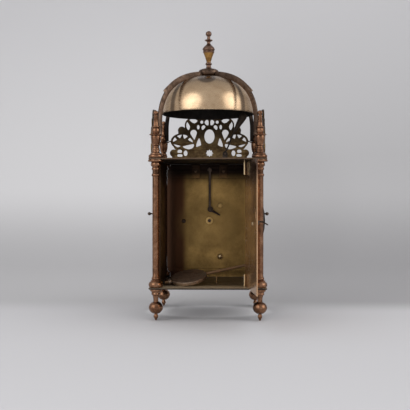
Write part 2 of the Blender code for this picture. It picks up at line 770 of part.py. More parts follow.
def build_case(copper, brass):
    pin = circle((FLOOR_PIN_X, FLOOR_PIN_Y), FLOOR_PIN_R + PIN_PLAY, 8)
    put("bottom_plate", slab(plate_outline(), FLOOR_T, plate_holes([pin])), brass, (0, 0, FOOT_H))
    put("top_plate", slab(plate_outline(), ROOF_T, plate_holes()), brass, (0, 0, ROOF_Z))
    for corner, (sx, sy) in CORNERS.items():
        x = sx * HALF_X
        y = sy * HALF_Y
        put(f"foot_{corner}", turned(foot_profile(), ROUND_TURNED), copper, (x, y, 0))
        put(f"pillar_{corner}", turned(pillar_profile(), ROUND_TURNED), copper, (x, y, FLOOR_Z + SEAT))
        put(f"finial_{corner}", turned(finial_profile(), ROUND_TURNED), copper, (x, y, DECK_Z + SEAT))


def build_bell(bell_brass, copper, olive, steel):
    put("bell", bell_shape(), bell_brass, (0, 0, RIM_Z))
    put("bell_hub", turned(hub_profile(), ROUND_TURNED), olive, (0, 0, HUB_Z))
    put("bell_finial", turned(spire_profile(), ROUND_TURNED), copper, (0, 0, HUB_Z + HUB_H + SEAT))
    nut_top = RIM_Z + bell_inside(NUT_R + NUT_LIP) - SEAT
    stud_low = nut_top - NUT_H - 2.0 * mm
    stud_high = HUB_Z + HUB_H * 0.4 - SEAT
    put("bell_stud", rod(STUD_R, stud_high - stud_low), steel, (0, 0, stud_low))
    nut = slab(circle((0, 0), NUT_R, 6), NUT_H, [circle((0, 0), STUD_R + PIN_PLAY, ROUND_SMALL)])
    put("bell_nut", nut, steel, (0, 0, nut_top - NUT_H))
    for corner, (sx, sy) in CORNERS.items():
        turn = math.atan2(sy * HALF_Y, sx * HALF_X)
        put(f"bell_strap_{corner}", strap_shape(), olive, (0, 0, 0), (0, 0, turn))


def build_frets(olive):
    """Each fret has two tabs bent inwards at its foot, each held by a screw."""
    half_x = HALF_X + PLATE_LIP - FRET_IN - FRET_T / 2
    half_y = HALF_Y + PLATE_LIP - FRET_IN - FRET_T / 2
    places = {
        "front_fret": ((0, half_y), 0.0),
        "right_fret": ((half_x, 0), -math.pi / 2),
        "left_fret": ((-half_x, 0), math.pi / 2),
    }
    for name, ((x, y), turn) in places.items():
        fret = put(name, fret_shape(), olive, (x, y, DECK_Z + SEAT), (0, 0, turn))
        for sign in (-1, 1):
            overlap = FRET_T * 0.4
            tab = slab(
                [
                    (sign * FRET_TAB_AT - FRET_TAB_W / 2, -FRET_T / 2 - FRET_TAB_REACH),
                    (sign * FRET_TAB_AT + FRET_TAB_W / 2, -FRET_T / 2 - FRET_TAB_REACH),
                    (sign * FRET_TAB_AT + FRET_TAB_W / 2, -FRET_T / 2 + overlap),
                    (sign * FRET_TAB_AT - FRET_TAB_W / 2, -FRET_T / 2 + overlap),
                ],
                FRET_TAB_T,
            )
            side = "left" if sign < 0 else "right"
            boolean(fret, tab, "UNION", f"{name}_tab_{side}")
            head = screw_head(SCREW_R, SCREW_HEAD_H + FRET_TAB_T / 2, 6)
            spot = Vector((sign * FRET_TAB_AT, -FRET_T / 2 - FRET_TAB_REACH * 0.55, FRET_TAB_T / 2))
            boolean(fret, moved(head, Matrix.Translation(spot)), "UNION", f"{name}_screw_{side}")


def dial_outline():
    """Sheet between the front pillars, notched round their cushions and capitals."""
    shaft = HALF_X - SHAFT_R - DIAL_SIDE_GAP
    cushion = HALF_X - CUSHION_R - DIAL_SIDE_GAP
    shoulder = HALF_X - CUSHION_R * 0.74 - DIAL_SIDE_GAP
    capital = HALF_X - CAPITAL_R - DIAL_SIDE_GAP
    ring = HALF_X - RING_R - DIAL_SIDE_GAP
    bulge = HALF_X - BULGE_R - DIAL_SIDE_GAP
    low = SEAT
    high = CASE_H - SEAT
    under = high - CAPITAL_H
    half = [
        (0, low),
        (cushion, low),
        (cushion, CUSHION_H * 0.72),
        (shoulder, CUSHION_H + 0.4 * mm),
        (ring, CUSHION_H + 1.6 * mm),
        (ring, CUSHION_H + 4.4 * mm),
        (shaft, CUSHION_H + 6.0 * mm),
        (shaft, under - 19.4 * mm),
        (ring, under - 18.4 * mm),
        (ring, under - 7.4 * mm),
        (bulge, under - 5.6 * mm),
        (bulge, under - 0.6 * mm),
        (capital, under - 0.4 * mm),
        (capital, high),
        (0, high),
    ]
    return mirrored(half)


def hand_outline():
    """Single hand with a pierced-looking barbed head and a plain tail."""
    right = [
        (0, -HAND_TAIL),
        (1.9 * mm, -HAND_TAIL + 2.0 * mm),
        (1.2 * mm, -8.0 * mm),
        *arc((0, 0), (5.4 * mm, 5.4 * mm), -78, 78, 6),
        (1.4 * mm, 9.0 * mm),
        (1.4 * mm, HAND_LEN * 0.42),
        (5.4 * mm, HAND_LEN * 0.52),
        (6.4 * mm, HAND_LEN * 0.62),
        (2.2 * mm, HAND_LEN * 0.60),
        (1.5 * mm, HAND_LEN * 0.70),
        (3.4 * mm, HAND_LEN * 0.80),
        (0, HAND_LEN),
    ]
    return mirrored(right)


def build_dial(brass, silvered, steel):
    hole = circle((0, DIAL_Z - FLOOR_Z), ARBOR_R + PIN_PLAY, ROUND_SMALL)
    sheet = upright(slab(dial_outline(), DIAL_T, [hole]), DIAL_T)
    put("dial_plate", sheet, brass, (0, DIAL_BACK_Y, FLOOR_Z))
    ring = slab(circle((0, 0), RING_OUTER_R, 40), RING_T, [circle((0, 0), RING_INNER_R, 30)])
    chapter = put("chapter_ring", upright(ring, RING_T), silvered, (0, RING_BACK_Y, DIAL_Z))
    post_l = RING_BACK_Y - DIAL_FRONT_Y - SEAT
    for i in range(4):
        angle = math.radians(45 + 90 * i)
        place = (RING_POST_AT * math.cos(angle), 0, RING_POST_AT * math.sin(angle))
        post = along_y(rod(RING_POST_R, post_l + RING_T / 2, 6), -post_l)
        boolean(chapter, moved(post, Matrix.Translation(place)), "UNION", f"ring_post_{i}")
    wall = ARBOR_R + PIN_PLAY
    boss_h = RING_BACK_Y + RING_T - DIAL_FRONT_Y - 2 * SEAT
    boss = slab(circle((0, 0), BOSS_R, ROUND_TURNED), boss_h, [circle((0, 0), wall, ROUND_SMALL)])
    put("dial_boss", upright(boss, boss_h), brass, (0, DIAL_FRONT_Y + SEAT, DIAL_Z))

    axis = joint_empty("hand_axis", (0, 0, DIAL_Z))
    hand = slab(hand_outline(), HAND_T, [circle((0, 0), wall, ROUND_SMALL)])
    hand_turn = (0, math.radians(56), 0)
    put("hour_hand", upright(hand, HAND_T), steel, (0, HAND_BACK_Y, 0), hand_turn, axis)
    collet_y = DIAL_BACK_Y - SEAT - COLLET_H
    arbor_end = HAND_BACK_Y + HAND_T + 3.0 * mm
    put("hand_arbor", along_y(rod(ARBOR_R, arbor_end - collet_y + 2.0 * mm), 0), steel, (0, collet_y - 2.0 * mm, 0), None, axis)
    collet = slab(circle((0, 0), COLLET_R, ROUND_TURNED), COLLET_H, [circle((0, 0), wall, ROUND_SMALL)])
    put("hand_collet", upright(collet, COLLET_H), brass, (0, collet_y, 0), None, axis)


def leaf_heights():
    return FLOOR_Z + LEAF_GAP, ROOF_Z - LEAF_GAP


def pintle(low, high, reach_down, reach_up):
    """A barrel with a pin at each end that is asked for, about Z."""
    profile = [(0, low - reach_down)]
    if reach_down:
        profile += [(PIN_R, low - reach_down), (PIN_R, low)]
    profile += [(BARREL_R, low), (BARREL_R, high)]
    if reach_up:
        profile += [(PIN_R, high), (PIN_R, high + reach_up)]
    profile.append((0, high + reach_up))
    return turned(profile, 8)


def build_side_doors(brass, olive):
    low, high = leaf_heights()
    hinge_y = HALF_Y - SIDE_HINGE_IN
    back_edge = -HALF_Y + SIDE_LEAF_END
    width = hinge_y - back_edge
    for name, sign in (("left", -1), ("right", 1)):
        axis = joint_empty(f"{name}_door_axis", (sign * (HALF_X - SIDE_LEAF_IN), hinge_y, 0))
        leaf = slab([(-width, low), (0, low), (0, high), (-width, high)], LEAF_T)
        stand = Matrix(((0, 0, 1, -LEAF_T / 2), (1, 0, 0, 0), (0, 1, 0, 0), (0, 0, 0, 1)))
        door = put(f"{name}_door", moved(leaf, stand), brass, (0, 0, 0), None, axis)
        reach = LEAF_GAP + PIN_IN
        boolean(door, pintle(low, high, reach, reach), "UNION", f"{name}_door_barrel")
        knob = turned(
            [
                (0, 0),
                (KNOB_FOOT_R, 0),
                (KNOB_FOOT_R * 0.9, 1.2 * mm),
                (KNOB_R * 0.45, 2.2 * mm),
                (KNOB_R * 0.45, KNOB_STEM),
                *arc((0, KNOB_STEM + KNOB_R * 0.9), (KNOB_R, KNOB_R), -50, 80, 4),
                (0, KNOB_STEM + KNOB_R * 1.9),
            ],
            8,
        )
        y = -width + KNOB_FROM_EDGE
        catch = along_x(rod(CATCH_R, KNOB_STEM * 0.86 + LEAF_T / 2, 8), 0, sign)
        catch = moved(catch, Matrix.Translation((0, y, FLOOR_Z + KNOB_UP - CATCH_DROP)))
        boolean(door, catch, "UNION", f"{name}_door_catch")
        start = sign * (LEAF_T / 2 + SEAT)
        place = (0, y, FLOOR_Z + KNOB_UP)
        put(f"{name}_door_knob", along_x(knob, start, sign), olive, place, None, axis)


def build_rear_door(brass, gilt, steel):
    low = leaf_heights()[0]
    high = ROOF_Z - SEAT - CAPITAL_H - LEAF_GAP
    axis = joint_empty("rear_door_axis", (REAR_HINGE_X, -HALF_Y + REAR_HINGE_IN, 0), (0, 0, REAR_OPEN))
    offset = BARREL_R + SEAT + LEAF_T / 2
    reach_to_cushion = math.hypot(HALF_X + REAR_HINGE_X, REAR_HINGE_IN) - CUSHION_R - SWING_GAP
    left = -math.sqrt(reach_to_cushion ** 2 - (offset + LEAF_T / 2) ** 2)
    right = -left - 2 * REAR_HINGE_X
    slot = [
        (-SLOT_AT - SLOT_W / 2, FLOOR_Z + SLOT_UP - SLOT_H / 2),
        (-SLOT_AT + SLOT_W / 2, FLOOR_Z + SLOT_UP - SLOT_H / 2),
        (-SLOT_AT + SLOT_W / 2, FLOOR_Z + SLOT_UP + SLOT_H / 2),
        (-SLOT_AT - SLOT_W / 2, FLOOR_Z + SLOT_UP + SLOT_H / 2),
    ]
    rivet_z = FLOOR_Z + LATCH_UP
    rivet_r = 1.4 * mm
    rivet_hole = circle((-LATCH_AT, rivet_z), rivet_r + PIN_PLAY, 8)
    leaf = slab([(left, low), (right, low), (right, high), (left, high)], LEAF_T, [slot, rivet_hole])
    put("rear_door", upright(leaf, LEAF_T / 2), brass, (0, -offset, 0), None, axis)
    pin_low = pintle(low, low + REAR_BARREL_L, LEAF_GAP + PIN_IN, 0.0)
    pin_high = pintle(high - REAR_BARREL_L, high, 0.0, ROOF_Z + PIN_IN - high)
    put("rear_door_pintle_low", pin_low, gilt, (0, 0, 0), None, axis)
    put("rear_door_pintle_high", pin_high, gilt, (0, 0, 0), None, axis)

    latch_axis = joint_empty("latch_axis", (-LATCH_AT, -offset, rivet_z), (0, 0, 0), axis)
    outer = LEAF_T / 2 + SEAT
    arm = [
        *arc((0, 0), (LATCH_W / 2, LATCH_W / 2), -90, 90, 5),
        (-LATCH_LEN, LATCH_W * 0.38),
        (-LATCH_LEN, -LATCH_W * 0.38),
    ]
    plate = upright(slab(arm, LATCH_T, [circle((0, 0), rivet_r + PIN_PLAY, 8)]), -outer)
    latch = put("rear_latch", plate, steel, (0, 0, 0), (0, LATCH_TURN, 0), latch_axis)
    finger_t = 1.8 * mm
    side_view = [
        (-outer - 0.4 * LATCH_T, LATCH_W * 0.34),
        (-outer - LATCH_T - LATCH_FINGER * 0.4, LATCH_W * 0.26),
        (-outer - LATCH_T - LATCH_FINGER, -LATCH_W * 0.42),
        (-outer - LATCH_T - LATCH_FINGER * 0.94, -LATCH_W * 0.62),
        (-outer - LATCH_T - LATCH_FINGER * 0.4, -LATCH_W * 0.06),
        (-outer - 0.4 * LATCH_T, LATCH_W * 0.02),
    ]
    finger = slab(side_view, finger_t)
    stand = Matrix(((0, 0, 1, -LATCH_LEN + 0.6 * mm), (1, 0, 0, 0), (0, 1, 0, 0), (0, 0, 0, 1)))
    boolean(latch, moved(finger, stand), "UNION", "latch_finger")
    head_r = rivet_r * 1.9
    rivet_in = LEAF_T / 2 + SEAT
    rivet_out = outer + LATCH_T + SEAT
    rivet = turned(
        [
            (0, -rivet_out - 1.0 * mm),
            (head_r * 0.7, -rivet_out - 0.8 * mm),
            (head_r, -rivet_out),
            (rivet_r, -rivet_out),
            (rivet_r, rivet_in),
            (head_r, rivet_in),
            (head_r * 0.7, rivet_in + 0.9 * mm),
            (0, rivet_in + 1.2 * mm),
        ],
        8,
    )
    put("latch_rivet", along_y(rivet, 0), gilt, (-LATCH_AT, -offset, rivet_z), None, axis)


def tube_along(points, radius, steps):
    """A round wire through the points, which all lie in the XZ plane, with flat ends."""
    shape = bmesh.new()
    rings = []
    for i, (x, z) in enumerate(points):
        before = Vector(points[max(i - 1, 0)])
        after = Vector(points[min(i + 1, len(points) - 1)])
        run = (after - before).normalized()
        side = Vector((run.y, 0, -run.x))
        ring = []
        for k in range(steps):
            angle = math.tau * k / steps
            offset = side * math.cos(angle) * radius + Vector((0, math.sin(angle) * radius, 0))
            ring.append(shape.verts.new(Vector((x, 0, z)) + offset))
        rings.append(ring)
    for near, far in zip(rings, rings[1:]):
        for k in range(steps):
            j = (k + 1) % steps
            shape.faces.new((near[k], near[j], far[j], far[k]))
    shape.faces.new(rings[0])
    shape.faces.new(rings[-1])
    bmesh.ops.recalc_face_normals(shape, faces=shape.faces[:])
    return shape


def build_hammer(steel, olive):
    base = DECK_Z + SEAT
    axis_z = DECK_Z + HAMMER_AXIS_UP
    ear_y = COCK_W / 2
    ear = [
        (-COCK_EAR_R, COCK_T * 0.4),
        (COCK_EAR_R, COCK_T * 0.4),
        *arc((0, axis_z - base), (COCK_EAR_R, COCK_EAR_R), 0, 180, 6),
    ]
    hole = circle((0, axis_z - base), HAMMER_ARBOR_R + PIN_PLAY, 8)
    foot_x = COCK_EAR_R + COCK_LIP
    foot_y = ear_y + COCK_LIP
    foot = slab([(-foot_x, -foot_y), (foot_x, -foot_y), (foot_x, foot_y), (-foot_x, foot_y)], COCK_T)
    cock = put("hammer_cock", foot, olive, (HAMMER_X, 0, base))
    for sign in (-1, 1):
        cheek = upright(slab(ear, COCK_T, [hole]), sign * (ear_y - COCK_T / 2) + COCK_T / 2)
        boolean(cock, cheek, "UNION", f"cock_ear_{'back' if sign < 0 else 'front'}")
    axis = joint_empty("hammer_axis", (HAMMER_X, 0, axis_z))
    arbor_l = COCK_W + 3.0 * mm
    put("hammer_arbor", along_y(rod(HAMMER_ARBOR_R, arbor_l, 8), -arbor_l / 2), steel, (0, 0, 0), None, axis)
    head_x = HAMMER_HEAD_X
    head_z = RIM_Z - HAMMER_HEAD_DROP - axis_z
    lean = HAMMER_LEAN
    half = HAMMER_HEAD_L / 2
    entry = (head_x - math.sin(lean) * half * 0.8, head_z - math.cos(lean) * half * 0.8)
    wire = [
        (0, HAMMER_ARBOR_R + SEAT),
        (entry[0] * 0.34, entry[1] * 0.34),
        (entry[0] * 0.62, entry[1] * 0.68),
        entry,
    ]
    stem = put("hammer_stem", tube_along(wire, HAMMER_STEM_R, 8), steel, (0, 0, 0), None, axis)
    head = turned(
        [
            (0, -half),
            (HAMMER_HEAD_R * 0.36, -half),
            (HAMMER_HEAD_R * 0.62, -half * 0.35),
            (HAMMER_HEAD_R * 0.86, half * 0.2),
            (HAMMER_HEAD_R, half * 0.7),
            (HAMMER_HEAD_R * 0.8, half),
            (0, half),
        ],
        ROUND_SMALL,
    )
    place = Matrix.Translation((head_x, 0, head_z)) @ Matrix.Rotation(lean, 4, "Y")
    boolean(stem, moved(head, place), "UNION", "hammer_head")


def build_inside(brass, steel, gilt, olive):
    for name, x in (("left", LUG_LEFT_X), ("right", LUG_RIGHT_X)):
        angle = slab(
            [
                (0, 0),
                (0, -LUG_DROP),
                (-LUG_T, -LUG_DROP),
                (-LUG_T, -LUG_T),
                (-LUG_REACH, -LUG_T),
                (-LUG_REACH, 0),
            ],
            LUG_W,
        )
        stand = Matrix(((0, 0, 1, -LUG_W / 2), (1, 0, 0, 0), (0, 1, 0, 0), (0, 0, 0, 1)))
        put(f"dial_lug_{name}", moved(angle, stand), brass, (x, DIAL_BACK_Y - SEAT, ROOF_Z - SEAT))
        head = along_y(screw_head(SCREW_R, SCREW_HEAD_H, 8), 0)
        flip = Matrix.Translation((x, DIAL_BACK_Y - 2 * SEAT - LUG_T, ROOF_Z - LUG_DROP * 0.52)) @ Matrix.Rotation(math.pi, 4, "Z")
        put(f"lug_screw_{name}", moved(head, flip), steel)

    pivot_z = CRUTCH_Z
    stud_l = CRUTCH_OFF + CRUTCH_T + 1.6 * mm
    stud = turned(
        [
            (0, 0),
            (CRUTCH_STUD_R, 0),
            (CRUTCH_STUD_R, stud_l - 1.2 * mm),
            (CRUTCH_STUD_R * 1.9, stud_l - 1.0 * mm),
            (CRUTCH_STUD_R * 1.7, stud_l),
            (0, stud_l),
        ],
        8,
    )
    backwards = Matrix.Rotation(math.pi / 2, 4, "X")
    put("crutch_stud", moved(stud, backwards), steel, (CRUTCH_X, DIAL_BACK_Y - SEAT, pivot_z))
    axis = joint_empty("crutch_axis", (CRUTCH_X, DIAL_BACK_Y - SEAT - CRUTCH_OFF, pivot_z))
    half = CRUTCH_W / 2
    eye = arc((0, 0), (CRUTCH_EYE_R, CRUTCH_EYE_R), -62, 242, 9)
    tail = (15.5 * mm, -CRUTCH_LEN - 8.6 * mm)
    bar = [
        *eye,
        (-half, -CRUTCH_LEN + 1.0 * mm),
        (-half, -CRUTCH_LEN - 2.0 * mm),
        (tail[0] - 0.4 * mm, tail[1] - half * 0.7),
        (tail[0], tail[1] + half * 0.5),
        (half, -CRUTCH_LEN + 1.0 * mm),
    ]
    shape = slab(bar, CRUTCH_T, [circle((0, 0), CRUTCH_STUD_R + PIN_PLAY, 8)])
    crutch = put("crutch", upright(shape, CRUTCH_T / 2), olive, (0, -CRUTCH_T / 2, 0), None, axis)
    hub = moved(along_y(rod(CRUTCH_HUB_R, CRUTCH_HUB_L), -CRUTCH_HUB_L / 2), Matrix.Translation((1.0 * mm, 0, -CRUTCH_LEN)))
    boolean(crutch, hub, "UNION", "crutch_hub")

    build_studs(steel, gilt, brass)
    build_pendulum(brass, steel, gilt)


def build_studs(steel, gilt, brass):
    """Studs riveted through the dial plate, seen on its back."""
    places = {
        "left": (-38.3 * mm, 83.5 * mm, 3.0 * mm, 3.6 * mm),
        "low": (16.0 * mm, 30.3 * mm, 3.4 * mm, 3.0 * mm),
        "high": (16.0 * mm, 106.6 * mm, 3.8 * mm, 1.8 * mm),
    }
    for name, (x, up, radius, height) in places.items():
        head = moved(screw_head(radius, height, ROUND_SMALL), Matrix.Rotation(math.pi / 2, 4, "X"))
        put(f"dial_stud_{name}", head, gilt, (x, DIAL_BACK_Y - SEAT, FLOOR_Z + up))
    pin_l = FLOOR_T + FLOOR_PIN_H
    put("floor_pin", rod(FLOOR_PIN_R, pin_l, 8), gilt, (FLOOR_PIN_X, FLOOR_PIN_Y, FOOT_H))


def build_pendulum(brass, steel, gilt):
    """Bob pendulum, unhooked, lying on the floor of the case with its rod leaning up to the right."""
    along = Vector((math.cos(ROD_RISE) * math.cos(ROD_YAW), math.cos(ROD_RISE) * math.sin(ROD_YAW), math.sin(ROD_RISE)))
    up = (Vector((0, 0, 1)) - along * along.z).normalized()
    face = Matrix.Rotation(BOB_LEAN, 3, along) @ up
    across = face.cross(along)
    frame = Matrix((along, across, face)).transposed().to_4x4()
    tilt = math.sqrt(1 - face.z ** 2)
    centre_z = FLOOR_Z + SEAT + BOB_R * tilt + BOB_EDGE * abs(face.z)
    place = Matrix.Translation((BOB_X, BOB_Y, centre_z)) @ frame
    chamfer = 0.6 * mm
    disc = turned(
        [
            (0, -BOB_MIDDLE),
            (BOB_R * 0.5, -BOB_MIDDLE * 0.92),
            (BOB_R - chamfer, -BOB_EDGE),
            (BOB_R, -BOB_EDGE + chamfer),
            (BOB_R, BOB_EDGE - chamfer),
            (BOB_R - chamfer, BOB_EDGE),
            (BOB_R * 0.5, BOB_MIDDLE * 0.92),
            (0, BOB_MIDDLE),
        ],
        20,
    )
    bob = put("pendulum_bob", moved(disc, place), brass)
    bore = moved(along_x(rod(ROD_R + PIN_PLAY, 3 * BOB_R), -1.5 * BOB_R), place)
    boolean(bob, bore, "DIFFERENCE", "bob_bore")
    tail = BOB_R + ROD_TAIL
    put("pendulum_rod", moved(along_x(rod(ROD_R, ROD_LEN + tail), -tail), place), steel)
    nut = slab(circle((0, 0), RATING_NUT_R, 8), RATING_NUT_L, [circle((0, 0), ROD_R + PIN_PLAY, 8)])
    nut_at = -BOB_R - SEAT - RATING_NUT_L
    put("rating_nut", moved(along_x(nut, nut_at), place), gilt)


main()
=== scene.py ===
import math

import bmesh
import bpy
from mathutils import Matrix, Vector


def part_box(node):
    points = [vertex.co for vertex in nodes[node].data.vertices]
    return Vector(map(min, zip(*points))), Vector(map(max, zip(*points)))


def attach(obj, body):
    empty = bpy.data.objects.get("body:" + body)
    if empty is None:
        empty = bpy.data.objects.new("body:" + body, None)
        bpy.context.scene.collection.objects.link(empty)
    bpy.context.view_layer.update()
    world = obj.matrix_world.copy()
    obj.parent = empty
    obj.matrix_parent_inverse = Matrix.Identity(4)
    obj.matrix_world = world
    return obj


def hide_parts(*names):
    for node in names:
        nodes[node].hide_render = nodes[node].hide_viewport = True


mm = 0.001
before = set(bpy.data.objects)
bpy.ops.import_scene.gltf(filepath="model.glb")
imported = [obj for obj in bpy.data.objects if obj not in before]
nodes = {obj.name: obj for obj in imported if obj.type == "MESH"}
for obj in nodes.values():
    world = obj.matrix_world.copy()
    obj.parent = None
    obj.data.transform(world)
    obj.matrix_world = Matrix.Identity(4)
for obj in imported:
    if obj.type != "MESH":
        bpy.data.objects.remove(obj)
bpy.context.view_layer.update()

# Places that the solids give
pillar_low, pillar_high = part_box("pillar_back_left")
bell_low, bell_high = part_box("bell")
hub_low, hub_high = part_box("bell_hub")
floor_low, floor_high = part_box("bottom_plate")
roof_low, roof_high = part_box("top_plate")
CORNER_X = -(pillar_low.x + pillar_high.x) / 2
CORNER_Y = -(pillar_low.y + pillar_high.y) / 2
PILLAR_Z = floor_high.z + 0.3 * mm
FINIAL_Z = roof_high.z + 0.3 * mm
RIM_Z = bell_low.z
BELL_R = (bell_high.x - bell_low.x) / 2
BELL_H = bell_high.z - bell_low.z

# The bell's cup is a little larger than its solid, lower and to the left
CUP_R = BELL_R + 1.4 * mm
CUP_DROP = 1.2 * mm
CUP_H = BELL_H + CUP_DROP
CUP_X = -1.0 * mm
CUP_WALL = 2.2 * mm

CORNERS = ("back_left", "back_right", "front_left", "front_right")


# Node building

def wire(tree, kind, inputs=None, **settings):
    """Adds a node; each input is a socket to join it to, or a value."""
    made = tree.nodes.new(kind)
    for key, value in settings.items():
        setattr(made, key, value)
    for key, value in (inputs or {}).items():
        if isinstance(value, bpy.types.NodeSocket):
            tree.links.new(value, made.inputs[key])
        else:
            made.inputs[key].default_value = value
    return made


def sums(tree, operation, a, b=0.0):
    return wire(tree, "ShaderNodeMath", {0: a, 1: b}, operation=operation).outputs[0]


def times(tree, a, b):
    return sums(tree, "MULTIPLY", a, b)


def ramp(tree, value, start, full, smooth=True):
    """Rises from 0 to 1 while the value goes from start to full."""
    kind = "SMOOTHSTEP" if smooth else "LINEAR"
    limits = {"Value": value, "From Min": start, "From Max": full}
    return wire(tree, "ShaderNodeMapRange", limits, interpolation_type=kind).outputs["Result"]


def blend(tree, share, under, over):
    """Mixes two colours, the second by its share."""
    return wire(tree, "ShaderNodeMix", {"Factor": share, 6: under, 7: over}, data_type="RGBA").outputs[2]


def vectors(tree, operation, a, b=(0.0, 0.0, 0.0)):
    return wire(tree, "ShaderNodeVectorMath", {0: a, 1: b}, operation=operation).outputs


def noise(tree, place, scale, **shape):
    return wire(tree, "ShaderNodeTexNoise", {"Vector": place, "Scale": scale, **shape}).outputs["Fac"]


def object_place(tree):
    return wire(tree, "ShaderNodeTexCoord").outputs["Object"]


def object_axes(tree):
    return wire(tree, "ShaderNodeSeparateXYZ", {0: object_place(tree)}).outputs


def group_tree(name, takes, gives, kind="ShaderNodeTree"):
    """A node group with named inputs and outputs, and its two end nodes."""
    tree = bpy.data.node_groups.new(name, kind)
    for label, socket, value in takes:
        made = tree.interface.new_socket(label, in_out="INPUT", socket_type=socket)
        if value is not None:
            made.default_value = value
    for label, socket in gives:
        tree.interface.new_socket(label, in_out="OUTPUT", socket_type=socket)
    return tree, tree.nodes.new("NodeGroupInput").outputs, tree.nodes.new("NodeGroupOutput")


FLOAT = "NodeSocketFloat"
COLOR = "NodeSocketColor"
VECTOR = "NodeSocketVector"
GEOMETRY = "NodeSocketGeometry"
INT = "NodeSocketInt"
MATERIAL = "NodeSocketMaterial"


# Shader groups

def patina_group():
    """Mottled old metal: bright, middle and dark tones in clouds, with fine specks."""
    tree, take, give = group_tree(
        "patina",
        [
            ("Bright", COLOR, None),
            ("Middle", COLOR, None),
            ("Dark", COLOR, None),
            ("Cloud Scale", FLOAT, 60.0),
            ("Speck Scale", FLOAT, 900.0),
            ("Specks", FLOAT, 0.5),
        ],
        [("Color", COLOR), ("Tarnish", FLOAT)],
    )
    cloud_share = 0.62
    patch_finer = 3.7
    place = object_place(tree)
    clouds = noise(tree, place, take["Cloud Scale"], Detail=5.0, Roughness=0.62, Distortion=0.6)
    patch_scale = times(tree, take["Cloud Scale"], patch_finer)
    patches = noise(tree, place, patch_scale, Detail=4.0, Roughness=0.7)
    broad = times(tree, clouds, cloud_share)
    fine = times(tree, patches, 1 - cloud_share)
    tarnish = ramp(tree, sums(tree, "ADD", broad, fine), 0.34, 0.66, smooth=False)
    twice = times(tree, tarnish, 2.0)
    tone = blend(tree, twice, take["Bright"], take["Middle"])
    tone = blend(tree, sums(tree, "SUBTRACT", twice, 1.0), tone, take["Dark"])
    grains = noise(tree, place, take["Speck Scale"], Detail=2.0, Roughness=0.6)
    specks = ramp(tree, grains, 0.58, 0.72, smooth=False)
    tone = blend(tree, times(tree, specks, take["Specks"]), tone, take["Dark"])
    tree.links.new(tone, give.inputs["Color"])
    tree.links.new(tarnish, give.inputs["Tarnish"])
    return tree


def wear_group():
    """Where hands and cloths have rubbed: 1 on proud edges. Where dirt has stayed: 1 in hollows."""
    tree, take, give = group_tree(
        "edge_wear",
        [
            ("Edge", FLOAT, 0.53),
            ("Hollow Edge", FLOAT, 0.49),
            ("Softness", FLOAT, 0.05),
            ("Break Up", FLOAT, 240.0),
            ("Raggedness", FLOAT, 0.06),
        ],
        [("Worn", FLOAT), ("Hollow", FLOAT)],
    )
    point = wire(tree, "ShaderNodeNewGeometry").outputs["Pointiness"]
    broken = noise(tree, object_place(tree), take["Break Up"], Detail=3.0)
    shift = times(tree, sums(tree, "SUBTRACT", broken, 0.5), take["Raggedness"])
    ragged = sums(tree, "ADD", point, shift)
    top = sums(tree, "ADD", take["Edge"], take["Softness"])
    low = sums(tree, "SUBTRACT", take["Hollow Edge"], take["Softness"])
    tree.links.new(ramp(tree, ragged, take["Edge"], top, smooth=False), give.inputs["Worn"])
    tree.links.new(ramp(tree, ragged, take["Hollow Edge"], low, smooth=False), give.inputs["Hollow"])
    return tree


def rub_group():
    """Fine rubbing marks that run one way, and shallow dents."""
    tree, take, give = group_tree(
        "rub_marks",
        [("Run", VECTOR, (1.0, 1.0, 0.05)), ("Scale", FLOAT, 700.0), ("Dent Scale", FLOAT, 55.0)],
        [("Marks", FLOAT), ("Height", FLOAT)],
    )
    mark_depth = 0.12
    place = object_place(tree)
    run = vectors(tree, "MULTIPLY", place, take["Run"])[0]
    marks = noise(tree, run, take["Scale"], Detail=3.0, Roughness=0.65)
    dents = noise(tree, place, take["Dent Scale"], Detail=2.0)
    height = sums(tree, "ADD", times(tree, marks, mark_depth), dents)
    tree.links.new(marks, give.inputs["Marks"])
    tree.links.new(height, give.inputs["Height"])
    return tree


PATINA = patina_group()
WEAR = wear_group()
RUB = rub_group()

# How much of the worn tone shows on proud edges, and how much dirt, and how dark, in hollows
EDGE_SHARE = 0.6
DIRT_SHARE = 0.7
DIRT_DARK = 0.55

# How far rub marks change the gloss, the least roughness, and how deep the bump is
MARK_GLOSS = 0.25
LEAST_ROUGH = 0.08
BUMP_DEPTH = 0.6 * mm

# Shares of its reach where a toned patch ends and where it is full, and the full part of a painted
# reflection line
PATCH_END = 1.1
PATCH_FULL = 0.75
LINE_FULL = 0.3


def blank(name):
    material = bpy.data.materials.new(name)
    material.use_nodes = True
    tree = material.node_tree
    return material, tree, tree.nodes["Principled BSDF"]


